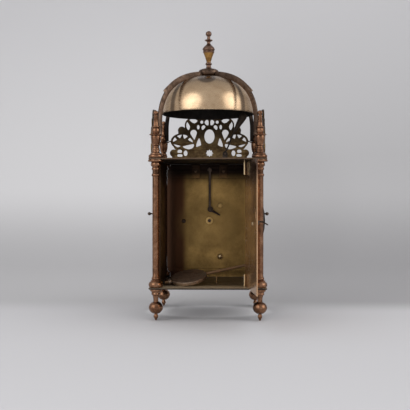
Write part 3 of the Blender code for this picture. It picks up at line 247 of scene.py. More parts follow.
def metal(name, bright, middle, dark, rough, clouds=60.0, specks=0.4, run=(1.0, 1.0, 0.05),
          marks=700.0, dent=0.25, worn_tone=None, spread=0.16, metallic=1.0):
    """An old metal: patina, rubbed edges, dirt in hollows, rub marks in the gloss and a shallow bump."""
    material, tree, shader = blank(name)
    looks = {
        "Bright": (*bright, 1), "Middle": (*middle, 1), "Dark": (*dark, 1),
        "Cloud Scale": clouds, "Specks": specks,
    }
    patina = wire(tree, "ShaderNodeGroup", looks, node_tree=PATINA)
    wear = wire(tree, "ShaderNodeGroup", node_tree=WEAR)
    rub = wire(tree, "ShaderNodeGroup", {"Run": run, "Scale": marks}, node_tree=RUB)

    worn = times(tree, wear.outputs["Worn"], EDGE_SHARE)
    tone = blend(tree, worn, patina.outputs["Color"], (*(worn_tone or bright), 1))
    hollow = times(tree, wear.outputs["Hollow"], DIRT_SHARE)
    tone = blend(tree, hollow, tone, (*(c * DIRT_DARK for c in dark), 1))
    tree.links.new(tone, shader.inputs["Base Color"])
    shader.inputs["Metallic"].default_value = metallic

    tarnish = times(tree, patina.outputs["Tarnish"], spread)
    gloss = sums(tree, "ADD", rough - spread / 2, tarnish)
    streaks = times(tree, sums(tree, "SUBTRACT", rub.outputs["Marks"], 0.5), MARK_GLOSS)
    gloss = sums(tree, "MAXIMUM", sums(tree, "ADD", gloss, streaks), LEAST_ROUGH)
    tree.links.new(gloss, shader.inputs["Roughness"])

    height = {"Strength": dent, "Distance": BUMP_DEPTH, "Height": rub.outputs["Height"]}
    bump = wire(tree, "ShaderNodeBump", height)
    tree.links.new(bump.outputs["Normal"], shader.inputs["Normal"])
    return material


def toned(material, tone, share, strength):
    """Lays a tone over a material's colour, by a share that changes over the surface."""
    tree = material.node_tree
    colour = tree.nodes["Principled BSDF"].inputs["Base Color"]
    under = colour.links[0].from_socket
    tree.links.new(blend(tree, times(tree, share, strength), under, (*tone, 1)), colour)
    return material


def zoned(material, tone, *bands, strength=1.0, together=False):
    """Lays a tone over bands of a piece: painted shade on most pieces, darker bands on the spire.

    Each band is an axis, where it starts and where it is full. The tone shows in any band, or, together,
    only where all of them meet.
    """
    tree = material.node_tree
    axes = object_axes(tree)
    share = 1.0 if together else 0.0
    for axis, start, full in bands:
        band = ramp(tree, axes[axis], start, full)
        share = sums(tree, "MULTIPLY" if together else "MAXIMUM", band, share)
    return toned(material, tone, share, strength)


def patch_tone(material, tone, centre, radii, strength):
    """Brings a tone in round a place, as an egg-shaped patch with a soft edge."""
    tree = material.node_tree
    apart = vectors(tree, "SUBTRACT", object_place(tree), centre)[0]
    reach = vectors(tree, "LENGTH", vectors(tree, "DIVIDE", apart, radii)[0])["Value"]
    return toned(material, tone, ramp(tree, reach, PATCH_END, PATCH_FULL), strength)


def strap_reflection_lines(material, tone, turn, spread, strength):
    """Brings a tone in along four lines that run down from the top, as painted reflections of the straps.
    """
    tree = material.node_tree
    axes = object_axes(tree)
    across = sums(tree, "ABSOLUTE", axes["X"])
    along = sums(tree, "ABSOLUTE", axes["Y"])
    off = sums(tree, "ABSOLUTE", sums(tree, "SUBTRACT", sums(tree, "ARCTAN2", along, across), turn))
    return toned(material, tone, ramp(tree, off, spread, spread * LINE_FULL), strength)


# Metals, each with bright, middle and dark tones and a roughness

LATHE_MARKS = {"run": (0.4, 0.4, 4.0), "marks": 500.0}
SHEET_MARKS = {"run": (1.0, 1.0, 0.06), "marks": 600.0}

turned_brass = metal(
    "turned_brass", (0.44, 0.25, 0.15), (0.26, 0.13, 0.072), (0.085, 0.042, 0.025), 0.29,
    clouds=70.0, worn_tone=(0.56, 0.37, 0.235), **LATHE_MARKS,
)
spire_brass = metal(
    "spire_brass", (0.48, 0.27, 0.09), (0.38, 0.2, 0.06), (0.15, 0.075, 0.028), 0.34,
    clouds=90.0, worn_tone=(0.62, 0.42, 0.2), **LATHE_MARKS,
)
zoned(
    spire_brass, (0.2, 0.12, 0.085), ("Z", hub_high.z + 20.5 * mm, hub_high.z + 23.0 * mm),
    ("Z", hub_high.z + 10.0 * mm, hub_high.z + 8.0 * mm),
)
bell_bronze = metal(
    "bell_bronze", (0.7, 0.51, 0.325), (0.62, 0.44, 0.275), (0.48, 0.32, 0.19), 0.26,
    clouds=34.0, specks=0.25, run=(0.3, 0.3, 3.0), marks=420.0, dent=0.025, spread=0.05,
)
# Painted shade: the bell darkens towards its crown
zoned(bell_bronze, (0.31, 0.22, 0.14), ("Z", RIM_Z + 22 * mm, RIM_Z + 50 * mm))
# Painted reflection of the hub: a dark patch on the bell just below it
patch_tone(
    bell_bronze, (0.09, 0.062, 0.045), (CUP_X - 1 * mm, -39 * mm, RIM_Z + BELL_H - 8.2 * mm),
    (13 * mm, 18 * mm, 12 * mm), strength=0.82,
)
# Painted reflections of the straps: four dark lines down the bell
strap_reflection_lines(bell_bronze, (0.1, 0.068, 0.047), turn=math.radians(42), spread=math.radians(6), strength=0.8)
# Painted shade: a near-black finish for the inside of the bell, which lies in shadow
bell_inside_shade = metal(
    "bell_inside_shade", (0.03, 0.022, 0.016), (0.02, 0.015, 0.011), (0.01, 0.008, 0.006), 0.65,
    metallic=0.3,
)
strap_brass = metal(
    "strap_brass", (0.2, 0.13, 0.09), (0.125, 0.08, 0.056), (0.045, 0.029, 0.02), 0.4,
    clouds=80.0, worn_tone=(0.4, 0.28, 0.2),
)
# Painted shade: the front straps darken below the bell's rim, in its shadow
zoned(
    strap_brass, (0.014, 0.01, 0.008), ("Y", 10 * mm, 34 * mm), ("Z", RIM_Z + 12 * mm, RIM_Z - 4 * mm),
    together=True,
)
fret_brass = metal(
    "fret_brass", (0.4, 0.28, 0.125), (0.26, 0.17, 0.08), (0.1, 0.06, 0.032), 0.46,
    clouds=90.0, worn_tone=(0.46, 0.33, 0.17),
)
# Painted shade: the frets darken towards their tops, under the bell
zoned(fret_brass, (0.05, 0.035, 0.022), ("Z", roof_high.z + 22 * mm, roof_high.z + 46 * mm), strength=0.9)
sheet_brass = metal(
    "sheet_brass", (0.62, 0.41, 0.15), (0.5, 0.315, 0.11), (0.31, 0.18, 0.06), 0.46,
    clouds=30.0, specks=0.7, dent=0.3, metallic=0.7, **SHEET_MARKS,
)
dial_back = metal(
    "dial_back", (0.6, 0.385, 0.13), (0.42, 0.262, 0.088), (0.2, 0.118, 0.042), 0.44,
    clouds=20.0, specks=0.8, dent=0.3, metallic=0.92, **SHEET_MARKS,
)
# Painted shadow of the left door and pillar: a dark band, darker still near the left edge
zoned(dial_back, (0.13, 0.058, 0.028), ("X", -31.0 * mm, -42.0 * mm))
zoned(dial_back, (0.07, 0.033, 0.018), ("X", -46 * mm, -56 * mm))
# Darker rings round the studs and the hand's arbor
for stud, reach in (("dial_stud_low", 5.5), ("dial_stud_high", 5.0), ("hand_arbor", 7.0)):
    stud_low, stud_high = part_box(stud)
    middle = (stud_low + stud_high) / 2
    patch_tone(dial_back, (0.16, 0.095, 0.038), middle, Vector((reach, 20.0, reach)) * mm, strength=0.6)
# Painted shadow of the top plate across the top of the dial plate
zoned(dial_back, (0.022, 0.013, 0.009), ("Z", roof_low.z - 34 * mm, roof_low.z - 11 * mm))
# A darker patch over the middle of the plate
patch_tone(
    dial_back, (0.22, 0.14, 0.048), (2 * mm, 70 * mm, 122 * mm), (52 * mm, 40 * mm, 42 * mm),
    strength=0.55,
)
# Painted shade: a darkened copy of the sheet brass for the side doors, whose inner faces lie in shadow
shaded_side_brass = metal(
    "shaded_side_brass", (0.15, 0.085, 0.048), (0.1, 0.055, 0.032), (0.05, 0.027, 0.016), 0.45,
    clouds=38.0, specks=0.6, dent=0.3, metallic=0.9, **SHEET_MARKS,
)
lug_brass = metal("lug_brass", (0.24, 0.14, 0.055), (0.18, 0.1, 0.04), (0.08, 0.045, 0.02), 0.46)
# Painted shadow of the top plate over the lugs' upper parts
zoned(lug_brass, (0.028, 0.017, 0.011), ("Z", roof_low.z - 22 * mm, roof_low.z - 12 * mm))
door_brass = metal(
    "door_brass", (0.74, 0.47, 0.27), (0.64, 0.385, 0.215), (0.42, 0.235, 0.13), 0.22,
    clouds=42.0, specks=0.5, dent=0.12, metallic=0.9, spread=0.1, **SHEET_MARKS,
)
# Painted shade: the rear door darkens towards the top plate
zoned(door_brass, (0.14, 0.08, 0.055), ("Z", roof_low.z - 40 * mm, roof_low.z - 12 * mm))
plate_brass = metal(
    "plate_brass", (0.26, 0.17, 0.1), (0.19, 0.125, 0.075), (0.09, 0.055, 0.032), 0.36,
    worn_tone=(0.36, 0.25, 0.15),
)
floor_brass = metal(
    "floor_brass", (0.56, 0.45, 0.3), (0.46, 0.36, 0.235), (0.25, 0.18, 0.11), 0.5, metallic=0.6
)
# Painted shadow over the floor, apart from a strip along its rear edge
zoned(floor_brass, (0.03, 0.02, 0.014), ("Y", -60 * mm, -38 * mm), strength=0.92)
plate_edge = metal(
    "plate_edge", (0.105, 0.072, 0.05), (0.075, 0.05, 0.035), (0.035, 0.022, 0.015), 0.55,
    clouds=70.0, worn_tone=(0.22, 0.15, 0.1),
)
# Dark brass, also used as painted shade on the plates' undersides and edges
dark_and_shaded_brass = metal(
    "dark_and_shaded_brass", (0.03, 0.021, 0.015), (0.02, 0.014, 0.01), (0.01, 0.007, 0.005), 0.6,
    clouds=70.0, worn_tone=(0.06, 0.04, 0.028), metallic=0.5,
)
bob_brass = metal(
    "bob_brass", (0.44, 0.3, 0.205), (0.34, 0.225, 0.15), (0.17, 0.11, 0.075), 0.55,
    run=(1.0, 1.0, 1.0), worn_tone=(0.36, 0.29, 0.22),
)
rod_iron = metal(
    "rod_iron", (0.2, 0.115, 0.058), (0.14, 0.08, 0.04), (0.07, 0.04, 0.02), 0.5,
    clouds=120.0, metallic=0.6,
)
pin_brass = metal(
    "pin_brass", (0.6, 0.45, 0.25), (0.48, 0.34, 0.18), (0.28, 0.18, 0.09), 0.3,
    clouds=120.0, worn_tone=(0.7, 0.55, 0.34),
)
silvering = metal(
    "silvering", (0.62, 0.58, 0.48), (0.52, 0.47, 0.37), (0.3, 0.25, 0.17), 0.42,
    clouds=50.0, run=(1.0, 1.0, 1.0), marks=900.0, dent=0.15,
)
dark_steel = metal(
    "dark_steel", (0.085, 0.06, 0.046), (0.05, 0.036, 0.028), (0.02, 0.015, 0.012), 0.5,
    clouds=110.0, worn_tone=(0.16, 0.12, 0.095),
)
black_wax = metal(
    "black_wax", (0.05, 0.045, 0.04), (0.03, 0.027, 0.025), (0.015, 0.013, 0.012), 0.6, dent=0.1,
    metallic=0.0,
)


# Geometry trees

def shape_tree(name, *sizes):
    """A geometry tree that takes a shape, its own sizes and a material."""
    takes = [("Geometry", GEOMETRY, None), *sizes, ("Material", MATERIAL, None)]
    return group_tree(name, takes, [("Geometry", GEOMETRY)], "GeometryNodeTree")


def combined(tree, **axes):
    return wire(tree, "ShaderNodeCombineXYZ", axes).outputs[0]


def moved(tree, shape, **place):
    return wire(tree, "GeometryNodeSetPosition", {"Geometry": shape.outputs[0], **place})


def index_of(tree):
    return wire(tree, "GeometryNodeInputIndex").outputs[0]


def step_angle(tree, step, count):
    """The angle of a step, with so many steps in a full turn."""
    return times(tree, sums(tree, "DIVIDE", step, count), math.tau)


def on_points(tree, points, shape, **turn):
    """Stands copies of a shape on points, each turned about the axis given."""
    euler = wire(tree, "FunctionNodeEulerToRotation", {0: combined(tree, **turn)})
    return wire(
        tree, "GeometryNodeInstanceOnPoints",
        {"Points": points.outputs[0], "Instance": shape, "Rotation": euler.outputs[0]},
    )


def finished(tree, take, give, shape):
    """Ends a tree with real geometry in its material."""
    real = wire(tree, "GeometryNodeRealizeInstances", {"Geometry": shape.outputs[0]})
    clad = wire(
        tree, "GeometryNodeSetMaterial", {"Geometry": real.outputs[0], "Material": take["Material"]}
    )
    tree.links.new(clad.outputs[0], give.inputs[0])
    return tree


def turning_tree():
    """Turns a profile, drawn as (radius, 0, height), once round the Z axis."""
    tree, take, give = shape_tree("turning", ("Sides", INT, 64))
    size = wire(
        tree, "GeometryNodeAttributeDomainSize", {"Geometry": take["Geometry"]}, component="CURVE"
    )
    count = size.outputs["Point Count"]
    across = sums(tree, "ADD", take["Sides"], 1)
    grid = wire(tree, "GeometryNodeMeshGrid", {"Vertices X": across, "Vertices Y": count})
    row = sums(tree, "MODULO", index_of(tree), count)
    column = sums(tree, "FLOOR", sums(tree, "DIVIDE", index_of(tree), count))
    position = wire(tree, "GeometryNodeInputPosition").outputs[0]
    sample = wire(
        tree, "GeometryNodeSampleIndex",
        {"Geometry": take["Geometry"], "Value": position, "Index": row},
        data_type="FLOAT_VECTOR", domain="POINT",
    )
    split = wire(tree, "ShaderNodeSeparateXYZ", {0: sample.outputs[0]})
    angle = step_angle(tree, column, take["Sides"])
    x = times(tree, split.outputs["X"], sums(tree, "COSINE", angle))
    y = times(tree, split.outputs["X"], sums(tree, "SINE", angle))
    shaped = moved(tree, grid, Position=combined(tree, X=x, Y=y, Z=split.outputs["Z"]))
    merged = wire(
        tree, "GeometryNodeMergeByDistance", {"Geometry": shaped.outputs[0], "Distance": 1e-6}
    )
    return finished(tree, take, give, merged)


def corners_tree():
    """Stands a copy of a piece on each of the four corners."""
    tree, take, give = shape_tree(
        "corners", ("Pitch X", FLOAT, 0.1), ("Pitch Y", FLOAT, 0.1), ("Base", FLOAT, 0.0)
    )
    spots = wire(
        tree, "GeometryNodeMeshGrid",
        {"Size X": take["Pitch X"], "Size Y": take["Pitch Y"], "Vertices X": 2, "Vertices Y": 2},
    )
    lifted = moved(tree, spots, Offset=combined(tree, Z=take["Base"]))
    return finished(tree, take, give, on_points(tree, lifted, take["Geometry"]))


def strap_tree():
    """Sweeps a flat bar with eased edges along a path and sets copies round the Z axis."""
    tree, take, give = shape_tree(
        "bent_bar",
        ("Width", FLOAT, 0.009),
        ("Thickness", FLOAT, 0.002),
        ("Ease", FLOAT, 0.0004),
        ("Copies", INT, 4),
    )
    bar = wire(
        tree, "GeometryNodeCurvePrimitiveQuadrilateral",
        {"Width": take["Thickness"], "Height": take["Width"]},
    )
    softened = wire(
        tree, "GeometryNodeFilletCurve",
        {"Curve": bar.outputs[0], "Radius": take["Ease"], "Count": 3}, mode="POLY",
    )
    swept = wire(
        tree, "GeometryNodeCurveToMesh",
        {"Curve": take["Geometry"], "Profile Curve": softened.outputs[0], "Fill Caps": True},
    )
    points = wire(tree, "GeometryNodePoints", {"Count": take["Copies"]})
    angle = step_angle(tree, index_of(tree), take["Copies"])
    return finished(tree, take, give, on_points(tree, points, swept.outputs[0], Z=angle))


def dial_marks_tree():
    """Sets copies of a mark round the dial, each upright when read from the centre."""
    tree, take, give = shape_tree(
        "dial_marks", ("Copies", INT, 48), ("Radius", FLOAT, 0.06), ("Phase", FLOAT, 0.0)
    )
    points = wire(tree, "GeometryNodePoints", {"Count": take["Copies"]})
    step = sums(tree, "ADD", index_of(tree), take["Phase"])
    angle = step_angle(tree, step, take["Copies"])
    x = times(tree, take["Radius"], sums(tree, "SINE", angle))
    z = times(tree, take["Radius"], sums(tree, "COSINE", angle))
    placed = moved(tree, points, Position=combined(tree, X=x, Z=z))
    return finished(tree, take, give, on_points(tree, placed, take["Geometry"], Y=angle))


TURNING = turning_tree()
ON_CORNERS = corners_tree()
BENT_BAR = strap_tree()
DIAL_MARKS = dial_marks_tree()


# Making pieces

def link(name, data):
    """A new object, linked to the scene."""
    thing = bpy.data.objects.new(name, data)
    bpy.context.scene.collection.objects.link(thing)
    return thing


def add_tree(thing, tree, **values):
    """Puts a geometry tree on an object and sets its inputs by their labels."""
    modifier = thing.modifiers.new(tree.name, "NODES")
    modifier.node_group = tree
    labels = {s.name: s.identifier for s in tree.interface.items_tree if s.in_out == "INPUT"}
    for label, value in values.items():
        modifier[labels[label.replace("_", " ")]] = value


def settled(name, source, body, *stands_for, sharp=38):
    """The evaluated result as one plain mesh piece at the origin, riding on its body."""
    bpy.context.view_layer.update()
    graph = bpy.context.evaluated_depsgraph_get()
    mesh = bpy.data.meshes.new_from_object(source.evaluated_get(graph))
    mesh.transform(source.matrix_world)
    bpy.data.objects.remove(source)
    shape = bmesh.new()
    shape.from_mesh(mesh)
    bmesh.ops.remove_doubles(shape, verts=shape.verts[:], dist=2e-7)
    bmesh.ops.recalc_face_normals(shape, faces=shape.faces[:])
    shape.to_mesh(mesh)
    shape.free()
    mesh.shade_smooth()
    mesh.set_sharp_from_angle(angle=math.radians(sharp))
    mesh.name = name
    piece = link(name, mesh)
    if stands_for:
        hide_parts(*stands_for)
    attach(piece, body)
    return piece


def from_bmesh(name, shape, material):
    mesh = bpy.data.meshes.new(name)
    shape.to_mesh(mesh)
    shape.free()
    mesh.materials.append(material)
    return link(name, mesh)


def add_line(curve, points):
    spline = curve.splines.new("POLY")
    spline.points.add(len(points) - 1)
    for target, point in zip(spline.points, points):
        target.co = (*point, 1.0)
    return spline


def line_object(name, points):
    """An open polyline as a curve object."""
    curve = bpy.data.curves.new(name, "CURVE")
    curve.dimensions = "3D"
    add_line(curve, points)
    return link(name, curve)


def between(before, a, b, after, t):
    """The point at a share t of the way from a to b, on a smooth line through all four."""
    square = (2 * before - 5 * a + 4 * b - after) * t * t
    return 0.5 * (2 * a + (b - before) * t + square + (3 * a - before - 3 * b + after) * t ** 3)


def eased(points, steps=5):
    """A moulding line: points marked as edges stay sharp, the rest runs smoothly between them."""
    runs = [[]]
    for point in points:
        spot = Vector((point[0], point[1])) * mm
        runs[-1].append(spot)
        if len(point) > 2:
            runs.append([spot])
    line = []
    for run in runs:
        pieces = steps if len(run) > 2 else 1
        for i in range(len(run) - 1):
            near = (run[max(i - 1, 0)], run[i], run[i + 1], run[min(i + 2, len(run) - 1)])
            line += [between(*near, k / pieces) for k in range(pieces)]
    line.append(Vector((points[-1][0], points[-1][1])) * mm)
    return [(max(p.x, 0.0), p.y) for p in line]


def ball(height, radius, start, steps=9):
    """The upper part of a ball, as moulding points in millimetres that end at its pole."""
    points = []
    for i in range(steps + 1):
        angle = math.radians(start + (90 - start) * i / steps)
        points.append((radius * math.cos(angle), height + radius * math.sin(angle)))
    points[-1] = (0.0, height + radius)
    return points


def turned(name, profile, material, stands_for, base, sides=64, centre=(0, 0), on_corners=False,
           sharp=32):
    """A profile turned round an upright axis, once or over all four corners."""
    line = line_object(name, [(r, 0.0, z) for r, z in profile])
    add_tree(line, TURNING, Sides=sides, Material=material)
    if on_corners:
        pitch = {"Pitch_X": 2 * CORNER_X, "Pitch_Y": 2 * CORNER_Y}
        add_tree(line, ON_CORNERS, **pitch, Base=base, Material=material)
    else:
        line.location = (*centre, base)
    return settled(name, line, "case", *stands_for, sharp=sharp)


WAYS = {"up": Vector((0, 0, 1)), "down": Vector((0, 0, -1)), "front": Vector((0, 1, 0))}
CORNER_ANGLE = 50


def refined(name, material, body, width, **facing):
    """A copy of a solid with its doubles merged and its corners eased, in place of the solid.

    The materials given as up, down or front go on the faces that look that way.
    """
    shape = bmesh.new()
    shape.from_mesh(nodes[name].data)
    bmesh.ops.remove_doubles(shape, verts=shape.verts[:], dist=2e-6)
    bmesh.ops.dissolve_limit(
        shape, angle_limit=math.radians(0.5), verts=shape.verts[:], edges=shape.edges[:]
    )
    corners = [
        e for e in shape.edges
        if len(e.link_faces) == 2 and e.calc_face_angle(0) > math.radians(CORNER_ANGLE)
    ]
    bmesh.ops.bevel(
        shape, geom=corners, offset=width * mm, offset_type="OFFSET", segments=2,
        profile=0.6, affect="EDGES", clamp_overlap=True,
    )
    for i, way in enumerate(facing):
        for face in shape.faces:
            if face.normal.dot(WAYS[way]) > 0.9:
                face.material_index = i + 1
    source = from_bmesh(f"{name}_source", shape, material)
    for other in facing.values():
        source.data.materials.append(other)
    return settled(f"{name}_fine", source, body, name)


# Turned pieces

E = "edge"


def foot_line():
    return eased([
        (0, 0, E), (0.9, 0, E), (1.8, 2.0), (2.8, 4.0), (3.05, 5.4), (2.75, 6.8), (2.2, 8.0), (2.1, 8.7, E),
        (5.2, 9.9), (8.0, 12.6), (9.3, 15.9), (9.3, 18.0), (8.2, 21.0), (5.9, 23.4), (3.6, 24.5, E),
        (3.4, 25.2, E), (3.35, 27.0), (3.5, 29.6), (4.2, 32.2), (5.0, 33.7, E), (5.7, 34.1), (5.9, 34.9),
        (5.7, 35.7, E), (5.5, 36.2), (5.7, 37.2), (6.3, 38.1, E), (7.3, 38.5), (7.65, 39.3),
        (7.5, 40.9), (7.3, 41.1, E), (0, 41.1),
    ])


def pillar_line():
    return eased([
        (0, 0, E), (7.6, 0, E), (8.9, 0.8), (9.6, 2.6), (9.5, 4.4), (8.7, 6.2), (7.3, 7.6), (6.6, 8.2, E),
        (7.0, 8.6), (7.0, 9.2, E), (5.1, 9.9, E), (5.4, 10.5), (5.65, 11.4), (5.5, 12.5), (4.9, 13.2, E),
        (4.85, 13.9, E), (4.5, 15.2, E), (4.6, 60.0), (4.6, 90.0), (4.5, 145.9, E), (5.3, 146.6),
        (5.6, 147.8), (5.3, 149.0), (4.5, 149.7, E), (4.45, 154.0, E), (5.2, 154.6), (5.5, 155.9),
        (5.2, 157.0), (4.6, 157.7, E), (5.3, 158.9), (6.3, 160.0), (6.6, 161.4), (6.4, 163.0),
        (5.8, 164.4, E), (6.0, 164.8, E), (9.6, 165.3, E), (10.25, 165.8), (10.25, 167.3),
        (10.0, 167.8, E), (0, 167.8),
    ])


def finial_line():
    return eased([
        (0, 0, E), (9.0, 0, E), (9.55, 0.7), (9.6, 2.4), (9.2, 3.6), (8.4, 4.1, E), (7.6, 4.3, E),
        (7.8, 5.0), (7.5, 5.8, E), (6.3, 6.2), (5.3, 7.2), (4.9, 8.3, E), (5.4, 8.7), (5.5, 9.5),
        (5.3, 10.2, E), (4.8, 10.6, E), (5.0, 11.4), (4.9, 12.4, E), (4.2, 13.2), (3.75, 14.2),
        (3.8, 15.4), (4.6, 16.2, E), (5.0, 16.8, E), (4.9, 17.8, E), (5.5, 20.0), (6.0, 23.2),
        (6.2, 26.4), (6.15, 28.4), (5.8, 29.5, E), (8.3, 29.8, E), (8.65, 30.3), (8.4, 30.9, E),
        (4.3, 31.0, E), (4.6, 32.0), (5.2, 33.8), (5.45, 35.6), (5.0, 37.8), (4.2, 39.3, E),
        (5.2, 39.8, E), (5.5, 40.5), (5.2, 41.2, E), (3.6, 41.7, E), (3.45, 43.6), (3.0, 46.8, E),
        (3.4, 47.2), (3.4, 48.0, E), (2.9, 48.4, E), (2.75, 51.0, E), (3.1, 51.4), (3.1, 52.1, E),
        (2.6, 52.5, E), (2.6, 53.6, E), (3.0, 54.2), (2.9, 55.0, E), (1.9, 55.8, E),
        *ball(59.0, 3.3, -54),
    ])


def spire_line():
    return eased([
        (0, 0, E), (5.0, 0, E), (3.9, 1.0), (3.3, 2.4), (3.2, 4.4, E), (3.9, 4.9), (4.5, 5.9), (4.5, 6.6),
        (4.1, 7.4, E), (3.4, 7.8, E), (3.15, 8.6), (3.1, 9.6, E), (3.9, 12.2), (5.2, 16.2), (6.7, 20.2),
        (7.6, 22.4, E), (8.1, 22.8), (8.1, 23.6, E), (7.0, 24.0, E), (7.6, 24.6), (8.5, 26.2),
        (8.6, 27.2, E), (7.6, 29.2), (6.0, 31.0), (4.2, 32.7), (3.0, 33.9), (2.75, 34.5, E),
        (2.4, 35.2), (2.4, 37.2, E), (3.3, 37.9), (5.0, 38.7), (5.6, 39.4), (5.3, 40.0), (4.0, 40.6),
        (2.5, 41.2), (2.3, 42.2), (2.2, 43.7, E), *ball(48.4, 4.2, -60),
    ])


def hub_line():
    return eased([
        (0, 0, E), (11.0, 0, E), (13.4, 1.0), (14.4, 3.2), (14.5, 6.0), (13.9, 7.6, E), (12.6, 8.9),
        (10.2, 10.0), (7.6, 10.6), (5.6, 10.8, E), (5.4, 11.0, E), (0, 11.0),
    ])


# The cup's side is a squared oval: one power across its radius, another up its height
ACROSS_POWER = 2.6
UP_POWER = 2.3


def cup_side(widest, height):
    """From the crown's hole to the rim, with points closer together at the rim."""
    hole = 3.3 * mm
    crowding = 0.92
    steps = 44
    side = []
    for i in range(steps):
        radius = hole + (widest - hole) * math.sin(math.radians(90 * i / steps)) ** crowding
        share = max(1 - (radius / widest) ** ACROSS_POWER, 0.0) ** (1 / UP_POWER)
        side.append((radius, height * share))
    return side


def bell_line():
    """Down the outside from the crown to the rim, and up the inside again."""
    rim = [
        (CUP_R, 0.9 * mm), (CUP_R - 0.1 * mm, 0.3 * mm), (CUP_R - 0.5 * mm, 0.0), (CUP_R - 1.8 * mm, 0.0)
    ]
    outside = [p for p in cup_side(CUP_R, CUP_H) if p[1] > 1.6 * mm]
    inside = cup_side(CUP_R - CUP_WALL, CUP_H - CUP_WALL)
    return outside + rim + inside[::-1] + [outside[0]]


def make_turned():
    for kind, plural, profile, base in (
        ("foot", "feet", foot_line(), 0.0),
        ("pillar", "pillars", pillar_line(), PILLAR_Z),
        ("finial", "finials", finial_line(), FINIAL_Z),
    ):
        four = [f"{kind}_{c}" for c in CORNERS]
        turned(f"{plural}_turned", profile, turned_brass, four, base, on_corners=True)
    turned("bell_spire", spire_line(), spire_brass, ["bell_finial"], hub_high.z + 0.3 * mm)
    turned("bell_boss", hub_line(), strap_brass, ["bell_hub"], hub_low.z)
    cup = turned(
        "bell_cup", bell_line(), bell_bronze, ["bell"], RIM_Z - CUP_DROP, sides=160, centre=(CUP_X, 0),
        sharp=50,
    )
    # The inside and the lip's underside take the painted-shade finish
    inside = len(cup.data.materials)
    cup.data.materials.append(bell_inside_shade)
    for face in cup.data.polygons:
        inward = face.normal.x * (face.center.x - CUP_X) + face.normal.y * face.center.y < 0
        if inward or face.normal.z < -0.3:
            face.material_index = inside


# Straps

STRAP_WIDTH = 7.0 * mm
STRAP_THICK = 2.2 * mm
LEAF_WIDTH = 6.0 * mm
LEAF_THICK = 1.2 * mm

# A strap starts in the hub, runs out, bends down to its knee and drops beside its pillar
HUB_START = 9.7 * mm
HUB_RISE = 2.6 * mm
PILLAR_CLEAR = 6.0 * mm
KNEE_DROP = 13.4 * mm
START_PULL = Vector((52.9, -6.4)) * mm
KNEE_PULL = Vector((-2.0, 38.0)) * mm
BEND_STEPS = 40

# The steps of the bend where the leaf ends and where it lifts off the strap
LEAF_END = 27
LEAF_LIFTS = 21


def strap_path():
    """Middle line of a strap in its own upright plane, from its outer line."""
    leg = math.hypot(CORNER_X, CORNER_Y) - PILLAR_CLEAR
    foot = Vector((leg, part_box("bell_strap_back_left")[0].z))
    knee = Vector((leg, RIM_Z - KNEE_DROP))
    start = Vector((HUB_START, hub_low.z + HUB_RISE))
    a, b = start + START_PULL, knee + KNEE_PULL
    outer = []
    for i in range(BEND_STEPS + 1):
        t = i / BEND_STEPS
        s = 1 - t
        outer.append(start * s ** 3 + a * 3 * s * s * t + b * 3 * s * t * t + knee * t ** 3)
    outer += [knee.lerp(foot, i / 6) for i in range(1, 7)]
    path = []
    for i, point in enumerate(outer):
        run = (outer[min(i + 1, len(outer) - 1)] - outer[max(i - 1, 0)]).normalized()
        path.append(point + Vector((run.y, -run.x)) * STRAP_THICK / 2)
    return path


def bent_bars(name, path, width, thickness, ease, *stands_for):
    """Four bars bent along a path, one towards each pillar."""
    turn = Matrix.Rotation(math.atan2(CORNER_Y, CORNER_X), 3, "Z")
    line = line_object(f"{name}_line", [turn @ Vector((p.x, 0, p.y)) for p in path])
    add_tree(line, BENT_BAR, Width=width, Thickness=thickness, Ease=ease, Copies=4, Material=strap_brass)
    settled(name, line, "case", *stands_for)


def make_straps():
    path = strap_path()
    names = [f"bell_strap_{c}" for c in CORNERS]
    bent_bars("bell_straps_bent", path, STRAP_WIDTH, STRAP_THICK, 0.5 * mm, *names)
    leaf = []
    for i in range(LEAF_END):
        run = (path[i + 1] - path[max(i - 1, 0)]).normalized()
        lift = (STRAP_THICK + LEAF_THICK) / 2 + max(i - LEAF_LIFTS, 0) * 0.3 * mm
        leaf.append(path[i] + Vector((-run.y, run.x)) * lift)
    bent_bars("bell_strap_leaves", leaf, LEAF_WIDTH, LEAF_THICK, 0.4 * mm)


# Frets

def arc(centre, radii, start, stop, steps):
    """Part of an oval, between two angles in degrees."""
    points = []
    for i in range(steps + 1):
        angle = math.radians(start + (stop - start) * i / steps)
        points.append((centre[0] + radii[0] * math.cos(angle), centre[1] + radii[1] * math.sin(angle)))
    return points


def smooth_loop(points, steps=4):
    """A closed smooth line through the points."""
    count = len(points)
    line = []
    for i in range(count):
        near = [Vector(points[(i + k) % count]) for k in (-1, 0, 1, 2)]
        line += [tuple(between(*near, k / steps)) for k in range(steps)]
    return line


def mirrored(points):
    """A right half and its mirror image, as one outline."""
    return points + [(-x, y) for x, y in reversed(points) if x > 0.01]


# The fret's pattern in millimetres: its rise over the foot, and its wheel and scroll
FRET_RISE = 4.4
WHEEL = (40.2, 28.0)
WHEEL_REACH = (18.2, 12.5)
WHEEL_INSIDE = (14.9, 10.2)
SCROLL = (25.0, 52.1)
SCROLL_INSIDE = (9.9, 9.9)


def raised(points):
    """Pattern points, lifted to the fret's foot."""
    return [(x, y + FRET_RISE) for x, y in points]


